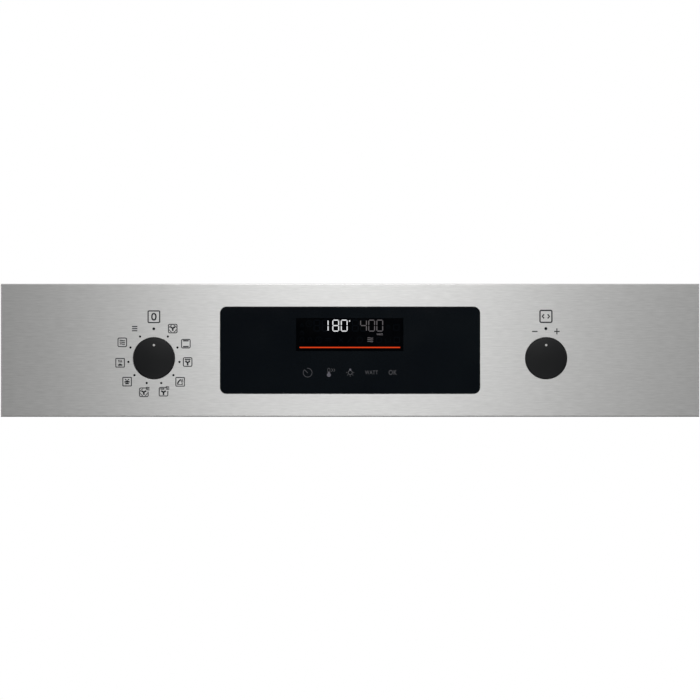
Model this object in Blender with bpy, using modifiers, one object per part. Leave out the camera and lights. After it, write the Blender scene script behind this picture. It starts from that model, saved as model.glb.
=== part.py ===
"""Control panel of a built-in wall oven, as the unit that comes off the oven in one piece.

Frame: +X to the right and +Z up as the user faces the panel, +Y into the oven.
Origin: middle of the plane y = 0, where the two side brackets bolt to the oven's front frame.
Along a knob's axis, "ahead" means the distance in front of that plane, so it is minus y.
All values are in metres.
"""

import math

import bmesh
import bpy
from mathutils import Matrix, Vector

# Folded steel front
PANEL_WIDTH = 0.595
PANEL_HEIGHT = 0.1133
FACE_AHEAD = 0.024
RETURN_DEPTH = 0.022
SHEET = 0.0008
BEND_RADIUS = 0.0016
LIP_WIDTH = 0.007

# Fits
GAP = 0.0003
SLIP = 0.0005
SCREW_CLEARANCE = 0.0002
STEP = 0.0002

# Display window
WINDOW_WIDTH = 0.2215
WINDOW_HEIGHT = 0.0744
WINDOW_CORNER = 0.0057
WINDOW_RECESS = 0.00015
WINDOW_FLANGE = 0.006
WINDOW_PLATE = 0.0025
TAPE_THICKNESS = 0.0005
TAPE_INSET = 0.001

# Display and touch pads
DISPLAY_WIDTH = 0.096
DISPLAY_HEIGHT = 0.033
DISPLAY_DEPTH = 0.0067
DISPLAY_Z = 0.0134
TOUCH_COUNT = 5
TOUCH_PITCH = 0.0181
TOUCH_Z = -0.019
TOUCH_RADIUS = 0.004

# Knobs, modelled pushed in. The travel is how far one comes out.
KNOB_SPACING = 0.3338
KNOB_Z = -0.0068
KNOB_DIAMETER = 0.0354
KNOB_PROUD = 0.001
KNOB_TRAVEL = 0.0175
KNOB_EDGE = 0.0008
KNOB_WALL = 0.002
KNOB_FACE_WALL = 0.0025
SKIRT_IN_HOLE = 0.0055
HOLE_GAP = 0.0003
HUB_RADIUS = 0.0055
POINTER_RADIUS = 0.0011
POINTER_FROM_AXIS = 0.011
POINTER_FIT = 0.0001

# Spindle, latch and spring inside each knob
SPINDLE_RADIUS = 0.003
SPINDLE_FLAT = 0.0015
SPINDLE_GRIP = 0.008
SPINDLE_FIT = 0.00015
TIP_CLEARANCE = 0.0005
FLANGE_RADIUS = 0.0095
FLANGE_THICKNESS = 0.0012
LATCH_LENGTH = 0.009
LATCH_WALL = 0.001
LATCH_SLOTS = 3
LATCH_SLOT_WIDTH = 0.0018
SPRING_RADIUS = 0.0086
SPRING_WIRE = 0.0009
SPRING_TURNS = 7
SPRING_STEPS = 10

# Knob housing, encoder and encoder board
HOUSING_WALL = 0.0017
HOUSING_FLANGE = 0.0021
HOUSING_FLANGE_DEPTH = 0.0034
HOUSING_BACK = 0.0015
POST_X = 0.013
POST_Z = 0.009
POST_RADIUS = 0.0032
BUSH_RADIUS = 0.0045
ENCODER_WIDTH = 0.015
ENCODER_HEIGHT = 0.013
ENCODER_DEPTH = 0.0067
SPINDLE_IN_ENCODER = 0.003
SMALL_BOARD_WIDTH = 0.040
SMALL_BOARD_HEIGHT = 0.030
BOARD_THICKNESS = 0.0016
BOARD_CORNER = 0.002

# Carrier moulding
CARRIER_PLATE = 0.0025
CARRIER_PLATE_AHEAD = 0.0167
CARRIER_RIM = 0.002
CARRIER_MARGIN = 0.0275
CARRIER_LIP_GAP = 0.0007
RIB_THICKNESS = 0.0016
RIB_DEPTH = 0.0087
RIB_PITCH = 0.025
RIB_FROM_TOP = 0.01815
RIB_FROM_BOTTOM = 0.01015

# Side brackets
BRACKET_SHEET = 0.0015
BRACKET_LIP_CLEARANCE = 0.00385
BRACKET_FLANGE = 0.016
BRACKET_TAB = 0.026
BRACKET_HOLE_RADIUS = 0.0024
BRACKET_HOLE_FROM_END = 0.013
BRACKET_SCREW_FROM_END = 0.015
BRACKET_SCREW_INSET = 0.005
EARTH_BLADE = (0.011, 0.0008, 0.0063)
EARTH_Z = 0.014

# Control board and its cover
BOARD_WIDTH = 0.236
BOARD_CLEARANCE = 0.0013
COVER_WALL = 0.002
COVER_CORNER = 0.004
COVER_LIP_CLEARANCE = 0.0054
COVER_BACK_Y = 0.008
EAR_LENGTH = 0.011
EAR_HEIGHT = 0.012
EAR_INSET_Z = 0.009
BOSS_RADIUS = 0.003
VENT_COUNT = 9
VENT_PITCH = 0.006
VENT_SIZE = (0.0024, 0.026)
VENT_CENTRE = (-0.058, 0.014)

# Electrical pieces on the control board: width, height and depth, then x and z
SUPPLY_SOCKET = (0.044, 0.014, 0.0191)
SUPPLY_X = 0.010
SUPPLY_FROM_EDGE = 0.00515
SOCKET_WALL = 0.002
SOCKET_FLOOR = 0.004
PROCESSOR = (0.014, 0.014, 0.0016)
PROCESSOR_PLACE = (-0.030, 0.010)
BUZZER = (0.006, 0.008)
BUZZER_PLACE = (0.045, 0.018)
CAPACITOR = (0.005, 0.014)
CAPACITOR_PLACE = (0.075, 0.004)
MAIN_SOCKET = (0.008, 0.016, 0.0098)
MAIN_SOCKET_X = 0.104
MAIN_SOCKET_Z = -0.008
MAIN_PLUG_DEPTH = 0.0092
SIDE_SOCKET = (0.008, 0.012, 0.006)
SIDE_SOCKET_X = 0.015
SIDE_SOCKET_Z = -0.009
SIDE_PLUG_LENGTH = 0.007
PLUG_TAPER = 0.001
LEAD_DIAMETER = 0.0045

# Screws and foam
SCREW_RADIUS = 0.00145
SCREW_HEAD_RADIUS = 0.003
SCREW_HEAD = 0.0022
SCREW_LENGTH = 0.0075
SEAL_SIZE = (0.570, 0.0032, 0.0055)

ROUND = 48
MEDIUM = 24
SMALL = 12

FACE_Y = -FACE_AHEAD
SHEET_BACK_Y = FACE_Y + SHEET
RETURN_END_Y = FACE_Y + RETURN_DEPTH
INNER_WIDTH = PANEL_WIDTH - 2 * SHEET
INNER_HEIGHT = PANEL_HEIGHT - 2 * SHEET
LIP_OPENING = INNER_HEIGHT - 2 * LIP_WIDTH

PLATE_BACK_Y = -CARRIER_PLATE_AHEAD
PLATE_FRONT_Y = PLATE_BACK_Y - CARRIER_PLATE
TAPE_FRONT_Y = SHEET_BACK_Y + GAP
LENS_FLANGE_Y = TAPE_FRONT_Y + TAPE_THICKNESS + GAP
LENS_BACK_Y = LENS_FLANGE_Y + WINDOW_PLATE
BOARD_FRONT_Y = LENS_BACK_Y + DISPLAY_DEPTH + 2 * GAP
BOARD_BACK_Y = BOARD_FRONT_Y + BOARD_THICKNESS
PARTS_Y = BOARD_BACK_Y + GAP
COVER_FRONT_Y = PLATE_BACK_Y + GAP

COVER_HEIGHT = LIP_OPENING - 2 * COVER_LIP_CLEARANCE
BOARD_HEIGHT = COVER_HEIGHT - 2 * COVER_WALL - 2 * BOARD_CLEARANCE
COVER_WIDTH = BOARD_WIDTH + 2 * BOARD_CLEARANCE + 2 * COVER_WALL
SUPPLY_PLACE = (SUPPLY_X, SUPPLY_FROM_EDGE + SUPPLY_SOCKET[1] / 2 - BOARD_HEIGHT / 2)
EAR_X = COVER_WIDTH / 2 + EAR_LENGTH / 2
EAR_Z = COVER_HEIGHT / 2 - EAR_INSET_Z

KNOB_RADIUS = KNOB_DIAMETER / 2
HOLE_RADIUS = KNOB_RADIUS + HOLE_GAP
FACE_FRONT = FACE_AHEAD + KNOB_PROUD
FACE_INNER = FACE_FRONT - KNOB_FACE_WALL
SPINDLE_TIP = FACE_INNER - TIP_CLEARANCE
HUB_END = SPINDLE_TIP - SPINDLE_GRIP - KNOB_TRAVEL
FLANGE_FRONT = HUB_END - GAP
FLANGE_BACK = FLANGE_FRONT - FLANGE_THICKNESS
HOUSING_FLOOR = FLANGE_BACK - GAP
HOUSING_END = HOUSING_FLOOR - HOUSING_BACK
ENCODER_FRONT = HOUSING_END - GAP
ENCODER_BACK = ENCODER_FRONT - ENCODER_DEPTH
SMALL_BOARD_FRONT = ENCODER_BACK - GAP
SMALL_BOARD_BACK = SMALL_BOARD_FRONT - BOARD_THICKNESS
HOUSING_INNER = HOLE_RADIUS + STEP
HOUSING_OUTER = HOUSING_INNER + HOUSING_WALL

BRACKET_OUTER_X = INNER_WIDTH / 2 - GAP
BRACKET_INNER_X = BRACKET_OUTER_X - BRACKET_SHEET
CARRIER_WIDTH = 2 * (BRACKET_INNER_X - SLIP)
CARRIER_HEIGHT = LIP_OPENING - 2 * CARRIER_LIP_GAP
RIB_ROWS = (CARRIER_HEIGHT / 2 - RIB_FROM_TOP, RIB_FROM_BOTTOM - CARRIER_HEIGHT / 2)
BRACKET_HEIGHT = LIP_OPENING - 2 * BRACKET_LIP_CLEARANCE
BRACKET_HOLE_Z = BRACKET_HEIGHT / 2 - BRACKET_HOLE_FROM_END
BRACKET_SCREW_Z = BRACKET_HEIGHT / 2 - BRACKET_SCREW_FROM_END

SIDES = {"left": -1, "right": 1}


def clear_scene():
    for item in list(bpy.data.objects):
        bpy.data.objects.remove(item)


def new_collection(name, hidden=False):
    group = bpy.data.collections.new(name)
    group.hide_render = hidden
    bpy.context.scene.collection.children.link(group)
    return group


def new_material(name, colour, roughness, metallic=0.0):
    made = bpy.data.materials.new(name)
    made.use_nodes = True
    shader = made.node_tree.nodes["Principled BSDF"]
    shader.inputs["Base Color"].default_value = (*colour, 1.0)
    shader.inputs["Roughness"].default_value = roughness
    shader.inputs["Metallic"].default_value = metallic
    return made


clear_scene()
PARTS = new_collection("oven_control_panel")
HELPERS = new_collection("cutters", hidden=True)

STEEL = new_material("brushed_steel", (0.56, 0.56, 0.55), 0.32, 1.0)
ZINC = new_material("zinc_plated_steel", (0.60, 0.62, 0.63), 0.40, 1.0)
BRASS = new_material("tinned_brass", (0.72, 0.58, 0.32), 0.35, 1.0)
SPRING_STEEL = new_material("spring_steel", (0.50, 0.51, 0.53), 0.25, 1.0)
BLACK_GLASS = new_material("black_glass", (0.004, 0.005, 0.006), 0.05)
KNOB_BLACK = new_material("knob_black", (0.018, 0.019, 0.020), 0.45)
CARRIER_BLACK = new_material("carrier_black", (0.030, 0.031, 0.033), 0.60)
GREY_PLASTIC = new_material("housing_grey", (0.10, 0.105, 0.11), 0.55)
WHITE_PLASTIC = new_material("white_plastic", (0.80, 0.80, 0.77), 0.40)
BOARD_GREEN = new_material("circuit_board", (0.02, 0.11, 0.05), 0.45)
CHIP_BLACK = new_material("chip_black", (0.015, 0.015, 0.017), 0.50)
FOAM_GREY = new_material("foam_grey", (0.16, 0.16, 0.17), 0.95)
LEAD_GREY = new_material("lead_grey", (0.22, 0.22, 0.23), 0.50)
TAPE_BLACK = new_material("tape_black", (0.02, 0.02, 0.02), 0.90)


def add_object(name, data, material=None, group=None):
    made = bpy.data.objects.new(name, data)
    (group or PARTS).objects.link(made)
    if material:
        made.data.materials.append(material)
    return made


def as_helper(item):
    """Moves an object among the cutters, so that it shapes others and isn't a piece itself."""
    PARTS.objects.unlink(item)
    HELPERS.objects.link(item)
    item.hide_render = True
    item.display_type = "WIRE"
    return item


def add_box(name, size, centre, material=None, corner=0.0, axis="Y", segments=4):
    """A box with its four edges along one axis rounded to the corner radius."""
    bm = bmesh.new()
    bmesh.ops.create_cube(bm, size=1.0)
    bmesh.ops.scale(bm, vec=size, verts=bm.verts)
    if corner:
        along = "XYZ".index(axis)
        edges = [e for e in bm.edges if abs((e.verts[0].co - e.verts[1].co)[along]) > 1e-6]
        bmesh.ops.bevel(bm, geom=edges, offset=corner, segments=segments, profile=0.5, affect="EDGES")
    mesh = bpy.data.meshes.new(name)
    bm.to_mesh(mesh)
    bm.free()
    made = add_object(name, mesh, material)
    made.location = centre
    return made


def add_turned(name, profile, material=None, steps=ROUND, parent=None, place=(0.0, 0.0, 0.0)):
    """Turns a profile of (radius, ahead) points about the local Z axis, which faces the user.

    The profile starts at the front and runs outwards and then back. One that starts off the
    axis is a ring, and closes on itself.
    """
    ring = profile[0][0] > 0
    points = [(radius, 0.0, ahead) for radius, ahead in profile]
    edges = [(i, i + 1) for i in range(len(points) - 1)]
    if ring:
        edges.append((len(points) - 1, 0))
    mesh = bpy.data.meshes.new(name)
    mesh.from_pydata(points, edges, [])
    made = add_object(name, mesh, material)
    screw = made.modifiers.new("turn", "SCREW")
    screw.steps = screw.render_steps = steps
    screw.use_merge_vertices = True
    screw.merge_threshold = 1e-5
    screw.use_smooth_shade = True
    place_facing_user(made, place, parent)
    return made


def place_facing_user(item, place, parent=None):
    """Puts an object so that its local Z points at the user. Under a knob's axis it does already."""
    item.location = place
    if parent:
        item.parent = parent
    else:
        item.rotation_euler = (math.pi / 2, 0.0, 0.0)


def add_rod(name, radius, low, high, place, material=None, steps=SMALL, parent=None):
    """A plain cylinder between two distances ahead, in the add_turned frame."""
    profile = [(0.0, high), (radius, high), (radius, low), (0.0, low)]
    return add_turned(name, profile, material, steps, parent, place)


def cut(item, *cutters):
    for cutter in cutters:
        change = item.modifiers.new("cut", "BOOLEAN")
        change.operation = "DIFFERENCE"
        change.solver = "EXACT"
        change.object = as_helper(cutter)


def join(item, *additions):
    for addition in additions:
        change = item.modifiers.new("join", "BOOLEAN")
        change.operation = "UNION"
        change.solver = "EXACT"
        change.object = as_helper(addition)


def rounded_outline(width, height, corner, segments=6):
    """Points of a rectangle with round corners, anticlockwise from the right side."""
    points = []
    for quarter, (sx, sy) in enumerate(((1, 1), (-1, 1), (-1, -1), (1, -1))):
        for step in range(segments + 1):
            angle = (quarter + step / segments) * math.pi / 2
            x = sx * (width / 2 - corner) + corner * math.cos(angle)
            y = sy * (height / 2 - corner) + corner * math.sin(angle)
            points.append((x, y))
    return points


def add_outline(name, outlines, thickness, centre, material):
    """A flat piece facing the user, cut from closed outlines. An outline inside another is a hole."""
    curve = bpy.data.curves.new(name, "CURVE")
    curve.dimensions = "2D"
    curve.fill_mode = "BOTH"
    curve.extrude = thickness / 2
    for outline in outlines:
        spline = curve.splines.new("POLY")
        spline.points.add(len(outline) - 1)
        for point, (x, y) in zip(spline.points, outline):
            point.co = (x, y, 0.0, 1.0)
        spline.use_cyclic_u = True
    made = add_object(name, curve, material)
    made.location = centre
    made.rotation_euler = (math.pi / 2, 0.0, 0.0)
    return made


def add_wire(name, points, diameter, material, parent=None):
    """A round wire through the given points, close enough together to look smooth."""
    curve = bpy.data.curves.new(name, "CURVE")
    curve.dimensions = "3D"
    curve.bevel_depth = diameter / 2
    curve.bevel_resolution = 2
    curve.use_fill_caps = True
    spline = curve.splines.new("POLY")
    spline.points.add(len(points) - 1)
    for point, place in zip(spline.points, points):
        point.co = (*place, 1.0)
    made = add_object(name, curve, material)
    made.parent = parent
    return made


def make_fascia():
    """Front sheet folded back on all four sides, with an inward lip along the top and bottom."""
    bm = bmesh.new()
    bmesh.ops.create_cube(bm, size=1.0)
    bmesh.ops.scale(bm, vec=(PANEL_WIDTH, RETURN_DEPTH, PANEL_HEIGHT), verts=bm.verts)
    bmesh.ops.translate(bm, vec=(0.0, FACE_Y + RETURN_DEPTH / 2, 0.0), verts=bm.verts)
    back = [f for f in bm.faces if f.normal.y > 0.5]
    bmesh.ops.delete(bm, geom=back, context="FACES_ONLY")
    folds = [e for e in bm.edges if not e.is_boundary]
    bmesh.ops.bevel(bm, geom=folds, offset=BEND_RADIUS, segments=4, profile=0.5, affect="EDGES")
    flat_half = PANEL_WIDTH / 2 - BEND_RADIUS
    rear_edges = [
        e for e in bm.edges
        if e.is_boundary and abs(abs(e.verts[0].co.x) - flat_half) < 1e-5
        and abs(e.verts[0].co.x + e.verts[1].co.x) < 1e-5
    ]
    for edge in rear_edges:
        inward = -math.copysign(LIP_WIDTH + SHEET, edge.verts[0].co.z)
        made = bmesh.ops.extrude_edge_only(bm, edges=[edge])["geom"]
        moved = [g for g in made if isinstance(g, bmesh.types.BMVert)]
        bmesh.ops.translate(bm, vec=(0.0, 0.0, inward), verts=moved)
    bmesh.ops.recalc_face_normals(bm, faces=bm.faces)
    front = min(bm.faces, key=lambda f: f.calc_center_median().y)
    if front.normal.y > 0:
        bmesh.ops.reverse_faces(bm, faces=bm.faces)
    mesh = bpy.data.meshes.new("fascia")
    bm.to_mesh(mesh)
    bm.free()
    fascia = add_object("fascia", mesh, STEEL)
    wall = fascia.modifiers.new("sheet", "SOLIDIFY")
    wall.thickness = SHEET
    wall.offset = -1.0
    wall.use_even_offset = True
    window = add_box(
        "window_cutter",
        (WINDOW_WIDTH, 6 * SHEET, WINDOW_HEIGHT),
        (0.0, FACE_Y, 0.0),
        corner=WINDOW_CORNER,
        segments=6,
    )
    cut(fascia, window)
    for side, sign in SIDES.items():
        place = (sign * KNOB_SPACING / 2, 0.0, KNOB_Z)
        ahead = (FACE_AHEAD - 3 * SHEET, FACE_AHEAD + 3 * SHEET)
        cut(fascia, add_rod(f"{side}_hole_cutter", HOLE_RADIUS, *ahead, place, steps=ROUND))


def make_window():
    """Black window: a flange behind the sheet, and a raised pad that fills the cut-out."""
    flange_width = WINDOW_WIDTH + 2 * WINDOW_FLANGE
    flange_height = WINDOW_HEIGHT + 2 * WINDOW_FLANGE
    flange_y = (LENS_FLANGE_Y + LENS_BACK_Y) / 2
    window = add_box(
        "display_window",
        (flange_width, WINDOW_PLATE, flange_height),
        (0.0, flange_y, 0.0),
        BLACK_GLASS,
        corner=WINDOW_CORNER,
    )
    pad_front = FACE_Y + WINDOW_RECESS
    pad_back = LENS_FLANGE_Y + WINDOW_PLATE / 2
    pad = add_box(
        "window_pad",
        (WINDOW_WIDTH - 2 * GAP, pad_back - pad_front, WINDOW_HEIGHT - 2 * GAP),
        (0.0, (pad_front + pad_back) / 2, 0.0),
        corner=WINDOW_CORNER - GAP,
        segments=6,
    )
    join(window, pad)
    tape_outer = rounded_outline(flange_width - 2 * TAPE_INSET, flange_height - 2 * TAPE_INSET, WINDOW_CORNER)
    tape_inner = rounded_outline(WINDOW_WIDTH + 2 * TAPE_INSET, WINDOW_HEIGHT + 2 * TAPE_INSET, WINDOW_CORNER)
    tape_y = TAPE_FRONT_Y + TAPE_THICKNESS / 2
    add_outline("window_tape", [tape_outer, tape_inner], TAPE_THICKNESS, (0.0, tape_y, 0.0), TAPE_BLACK)


def make_display():
    y = LENS_BACK_Y + GAP + DISPLAY_DEPTH / 2
    size = (DISPLAY_WIDTH, DISPLAY_DEPTH, DISPLAY_HEIGHT)
    add_box("display_module", size, (0.0, y, DISPLAY_Z), CHIP_BLACK, corner=0.001)
    pad_front, pad_back = -(LENS_BACK_Y + GAP), -(BOARD_FRONT_Y - GAP)
    for number, x in enumerate(touch_places(), start=1):
        add_rod(f"touch_pad_{number}", TOUCH_RADIUS, pad_back, pad_front, (x, 0.0, TOUCH_Z), TAPE_BLACK)


def touch_places():
    middle = (TOUCH_COUNT - 1) / 2
    return [(index - middle) * TOUCH_PITCH for index in range(TOUCH_COUNT)]


def plate_box(name, width, height, x, z, front_y, back_y, **options):
    """A box given by its faces towards and away from the user."""
    size = (width, back_y - front_y, height)
    return add_box(name, size, (x, (front_y + back_y) / 2, z), **options)


def make_carrier():
    """Moulded frame behind the sheet: plate, rim, ribs, collars round the knobs and board bosses.

    Faces that would share a plane are a step apart, so that every join is a clean one.
    """
    rim_width = CARRIER_WIDTH - 2 * CARRIER_MARGIN
    rib_back = PLATE_BACK_Y + RIB_DEPTH
    carrier = plate_box(
        "carrier", CARRIER_WIDTH, CARRIER_HEIGHT, 0.0, 0.0, PLATE_FRONT_Y, PLATE_BACK_Y, material=CARRIER_BLACK
    )
    rim_height = CARRIER_HEIGHT - 2 * STEP
    rim = plate_box("carrier_rim", rim_width, rim_height, 0.0, 0.0, PLATE_FRONT_Y + GAP, rib_back)
    hollow_size = (rim_width - 2 * CARRIER_RIM, rim_height - 2 * CARRIER_RIM)
    hollow = plate_box("carrier_hollow", *hollow_size, 0.0, 0.0, PLATE_BACK_Y + STEP / 2, rib_back + SLIP)
    join(carrier, rim)
    cut(carrier, hollow)
    rib_start = EAR_X + EAR_LENGTH / 2 + SLIP
    rib_end = rim_width / 2 - CARRIER_RIM / 2
    column_start = KNOB_SPACING / 2 + HOUSING_OUTER + RIB_PITCH / 2
    columns = int((rib_end - column_start) / RIB_PITCH) + 1
    collar_radius = HOUSING_OUTER + GAP
    rib_front = PLATE_BACK_Y - GAP
    for side, sign in SIDES.items():
        middle = sign * (rib_start + rib_end) / 2
        for row, z in enumerate(RIB_ROWS):
            faces = (rib_front, rib_back - 2 * STEP)
            join(carrier, plate_box(f"{side}_row_{row}", rib_end - rib_start, RIB_THICKNESS, middle, z, *faces))
        for column in range(columns):
            x = sign * (column_start + column * RIB_PITCH)
            faces = (rib_front - STEP, rib_back - STEP)
            column_height = rim_height - CARRIER_RIM
            join(carrier, plate_box(f"{side}_column_{column}", RIB_THICKNESS, column_height, x, 0.0, *faces))
    for side, sign in SIDES.items():
        place = (sign * KNOB_SPACING / 2, 0.0, KNOB_Z)
        collar_ends = (-rib_back - STEP, CARRIER_PLATE_AHEAD + 2 * GAP)
        join(carrier, add_rod(f"{side}_collar", collar_radius + CARRIER_RIM, *collar_ends, place, steps=MEDIUM))
    for number, (x, z) in enumerate(boss_places(), start=1):
        boss_ends = (-BOARD_FRONT_Y + GAP, CARRIER_PLATE_AHEAD + GAP)
        join(carrier, add_rod(f"boss_{number}", BOSS_RADIUS, *boss_ends, (x, 0.0, z)))
    for side, sign in SIDES.items():
        place = (sign * KNOB_SPACING / 2, 0.0, KNOB_Z)
        bore_ends = (-rib_back - SLIP, -PLATE_FRONT_Y + SLIP)
        cut(carrier, add_rod(f"{side}_bore", collar_radius, *bore_ends, place, steps=ROUND))
    opening = (DISPLAY_WIDTH + 2 * SLIP, DISPLAY_HEIGHT + 2 * SLIP)
    through = (PLATE_FRONT_Y - SLIP, PLATE_BACK_Y + SLIP)
    cut(carrier, plate_box("display_opening", *opening, 0.0, DISPLAY_Z, *through))
    depth = (-through[1], -through[0])
    for number, x in enumerate(touch_places(), start=1):
        cut(carrier, add_rod(f"touch_opening_{number}", TOUCH_RADIUS + SLIP, *depth, (x, 0.0, TOUCH_Z)))
    for number, (x, z) in enumerate([*ear_places(), *tab_places()], start=1):
        cut(carrier, add_rod(f"screw_hole_{number}", SCREW_RADIUS + SCREW_CLEARANCE, *depth, (x, 0.0, z)))
    for change in carrier.modifiers:
        change.solver = "MANIFOLD"  # the exact solver leaves open edges at the collars


def boss_places():
    """Where the carrier's bosses and the cover's posts grip the control board between them."""
    x = BOARD_WIDTH / 2 - 2 * BOSS_RADIUS
    z = BOARD_HEIGHT / 2 - 2 * BOSS_RADIUS
    return [(sx * x, sz * z) for sx in (-1, 1) for sz in (-1, 1)]


def ear_places():
    return [(sx * EAR_X, sz * EAR_Z) for sx in (-1, 1) for sz in (-1, 1)]


def tab_places():
    x = BRACKET_INNER_X - BRACKET_TAB + BRACKET_SCREW_INSET
    return [(sx * x, sz * BRACKET_SCREW_Z) for sx in (-1, 1) for sz in (-1, 1)]


def add_screw(name, x, z, seat_ahead, parent=None):
    """Pan-head screw driven from behind, its head resting on a face that is this far ahead."""
    head_front = seat_ahead - GAP
    profile = [
        (0.0, head_front + SCREW_LENGTH),
        (SCREW_RADIUS, head_front + SCREW_LENGTH - SCREW_RADIUS),
        (SCREW_RADIUS, head_front),
        (SCREW_HEAD_RADIUS, head_front),
        (SCREW_HEAD_RADIUS, head_front - SCREW_HEAD * 0.6),
        (SCREW_HEAD_RADIUS * 0.7, head_front - SCREW_HEAD),
        (0.0, head_front - SCREW_HEAD),
    ]
    place = (x, z, 0.0) if parent else (x, 0.0, z)
    add_turned(name, profile, ZINC, SMALL, parent, place)


def make_screws():
    for number, (x, z) in enumerate(ear_places(), start=1):
        add_screw(f"cover_screw_{number}", x, z, -(COVER_FRONT_Y + COVER_WALL))
    for number, (x, z) in enumerate(tab_places(), start=1):
        add_screw(f"bracket_screw_{number}", x, z, -(COVER_FRONT_Y + BRACKET_SHEET))


def make_bracket(side, sign):
    """Zinc-plated side bracket: web inside the fold, tab on the carrier, flange on the oven's frame."""
    web_x = sign * (BRACKET_OUTER_X + BRACKET_INNER_X) / 2
    web_front = SHEET_BACK_Y + GAP
    bracket = plate_box(
        f"{side}_bracket", BRACKET_SHEET, BRACKET_HEIGHT, web_x, 0.0, web_front, 0.0, material=ZINC
    )
    flange_x = sign * (BRACKET_OUTER_X - BRACKET_FLANGE / 2)
    flange = plate_box(f"{side}_flange", BRACKET_FLANGE, BRACKET_HEIGHT, flange_x, 0.0, -BRACKET_SHEET, 0.0)
    tab_front = PLATE_BACK_Y + GAP
    tab_width = BRACKET_TAB + BRACKET_SHEET
    tab_x = sign * (BRACKET_OUTER_X - tab_width / 2)
    tab = plate_box(f"{side}_tab", tab_width, BRACKET_HEIGHT, tab_x, 0.0, tab_front, tab_front + BRACKET_SHEET)
    join(bracket, flange, tab)
    hole_x = sign * (BRACKET_OUTER_X - BRACKET_FLANGE / 2)
    for end in (-1, 1):
        place = (hole_x, 0.0, end * BRACKET_HOLE_Z)
        cut(bracket, add_rod(f"{side}_frame_hole_{end}", BRACKET_HOLE_RADIUS, -SLIP, 2 * BRACKET_SHEET, place))
        tab_place = (sign * (BRACKET_INNER_X - BRACKET_TAB + BRACKET_SCREW_INSET), 0.0, end * BRACKET_SCREW_Z)
        depth = (-tab_front - 2 * BRACKET_SHEET, -tab_front + SLIP)
        hole = add_rod(f"{side}_tab_hole_{end}", SCREW_RADIUS + SCREW_CLEARANCE, *depth, tab_place)
        cut(bracket, hole)


def make_earth_tab():
    """Blade for the earth wire, standing inwards from the right bracket's web."""
    length, thickness, height = EARTH_BLADE
    x = BRACKET_INNER_X - GAP
    y = -(FACE_AHEAD - RETURN_DEPTH / 2) / 2
    blade = add_box("earth_tab", (length, thickness, height), (x - length / 2, y, EARTH_Z), BRASS)
    foot = add_box("earth_foot", (thickness, height, height), (x - thickness / 2, y, EARTH_Z))
    join(blade, foot)


def make_knob_parts(side, sign):
    axis = bpy.data.objects.new(f"{side}_knob_axis", None)
    PARTS.objects.link(axis)
    axis.location = (sign * KNOB_SPACING / 2, 0.0, KNOB_Z)
    axis.rotation_euler = (math.pi / 2, 0.0, 0.0)
    make_knob(side, axis)
    make_spindle(side, axis)
    make_latch(side, axis)
    make_spring(side, axis)
    make_housing(side, axis)
    make_encoder(side, axis)
    make_small_board(side, sign, axis)


def d_rod(name, radius, flat, low, high, parent):
    """A rod with one flat along its whole length, which faces down."""
    rod = add_rod(name, radius, low, high, (0.0, 0.0, 0.0), steps=MEDIUM, parent=parent)
    size = (4 * radius, 2 * radius, high - low + 2 * STEP)
    flat_box = add_box(f"{name}_flat", size, (0.0, -flat - radius, (low + high) / 2))
    flat_box.parent = parent
    cut(rod, flat_box)
    return rod


def make_knob(side, axis):
    """Cup-shaped knob with a round edge and a hub whose D bore slides on the spindle.

    The spindle is gripped over SPINDLE_GRIP when the knob is out, so the hub is longer by the travel.
    """
    arc = [
        (
            KNOB_RADIUS - KNOB_EDGE + KNOB_EDGE * math.sin(step * math.pi / 6),
            FACE_FRONT - KNOB_EDGE + KNOB_EDGE * math.cos(step * math.pi / 6),
        )
        for step in range(4)
    ]
    skirt_end = FACE_AHEAD - SKIRT_IN_HOLE - KNOB_TRAVEL
    profile = [
        (0.0, FACE_FRONT),
        *arc,
        (KNOB_RADIUS, skirt_end),
        (KNOB_RADIUS - KNOB_WALL, skirt_end),
        (KNOB_RADIUS - KNOB_WALL, FACE_INNER),
        (HUB_RADIUS, FACE_INNER),
        (HUB_RADIUS, HUB_END),
        (0.0, HUB_END),
    ]
    knob = add_turned(f"{side}_knob", profile, KNOB_BLACK, ROUND, axis)
    bore = (HUB_END - SLIP, FACE_INNER)
    cut(knob, d_rod(f"{side}_d_bore", SPINDLE_RADIUS + SPINDLE_FIT, SPINDLE_FLAT + SPINDLE_FIT, *bore, axis))
    place = (0.0, POINTER_FROM_AXIS, 0.0)
    through = (FACE_INNER - SLIP, FACE_FRONT + SLIP)
    cut(knob, add_rod(f"{side}_dot_hole", POINTER_RADIUS + POINTER_FIT, *through, place, parent=axis, steps=24))
    add_rod(
        f"{side}_pointer", POINTER_RADIUS, FACE_INNER, FACE_FRONT, place, WHITE_PLASTIC, steps=24, parent=axis
    )


def make_spindle(side, axis):
    rear = ENCODER_FRONT - SPINDLE_IN_ENCODER
    profile = [
        (0.0, SPINDLE_TIP),
        (SPINDLE_RADIUS, SPINDLE_TIP),
        (SPINDLE_RADIUS, FLANGE_FRONT),
        (FLANGE_RADIUS, FLANGE_FRONT),
        (FLANGE_RADIUS, FLANGE_BACK),
        (SPINDLE_RADIUS, FLANGE_BACK),
        (SPINDLE_RADIUS, rear),
        (0.0, rear),
    ]
    spindle = add_turned(f"{side}_spindle", profile, SPRING_STEEL, MEDIUM, axis)
    flat_start = FLANGE_FRONT + STEP
    length = SPINDLE_TIP - flat_start + SLIP
    size = (4 * SPINDLE_RADIUS, 2 * SPINDLE_RADIUS, length)
    flat = add_box(f"{side}_spindle_flat", size, (0.0, -SPINDLE_FLAT - SPINDLE_RADIUS, flat_start + length / 2))
    flat.parent = axis
    cut(spindle, flat)


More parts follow.
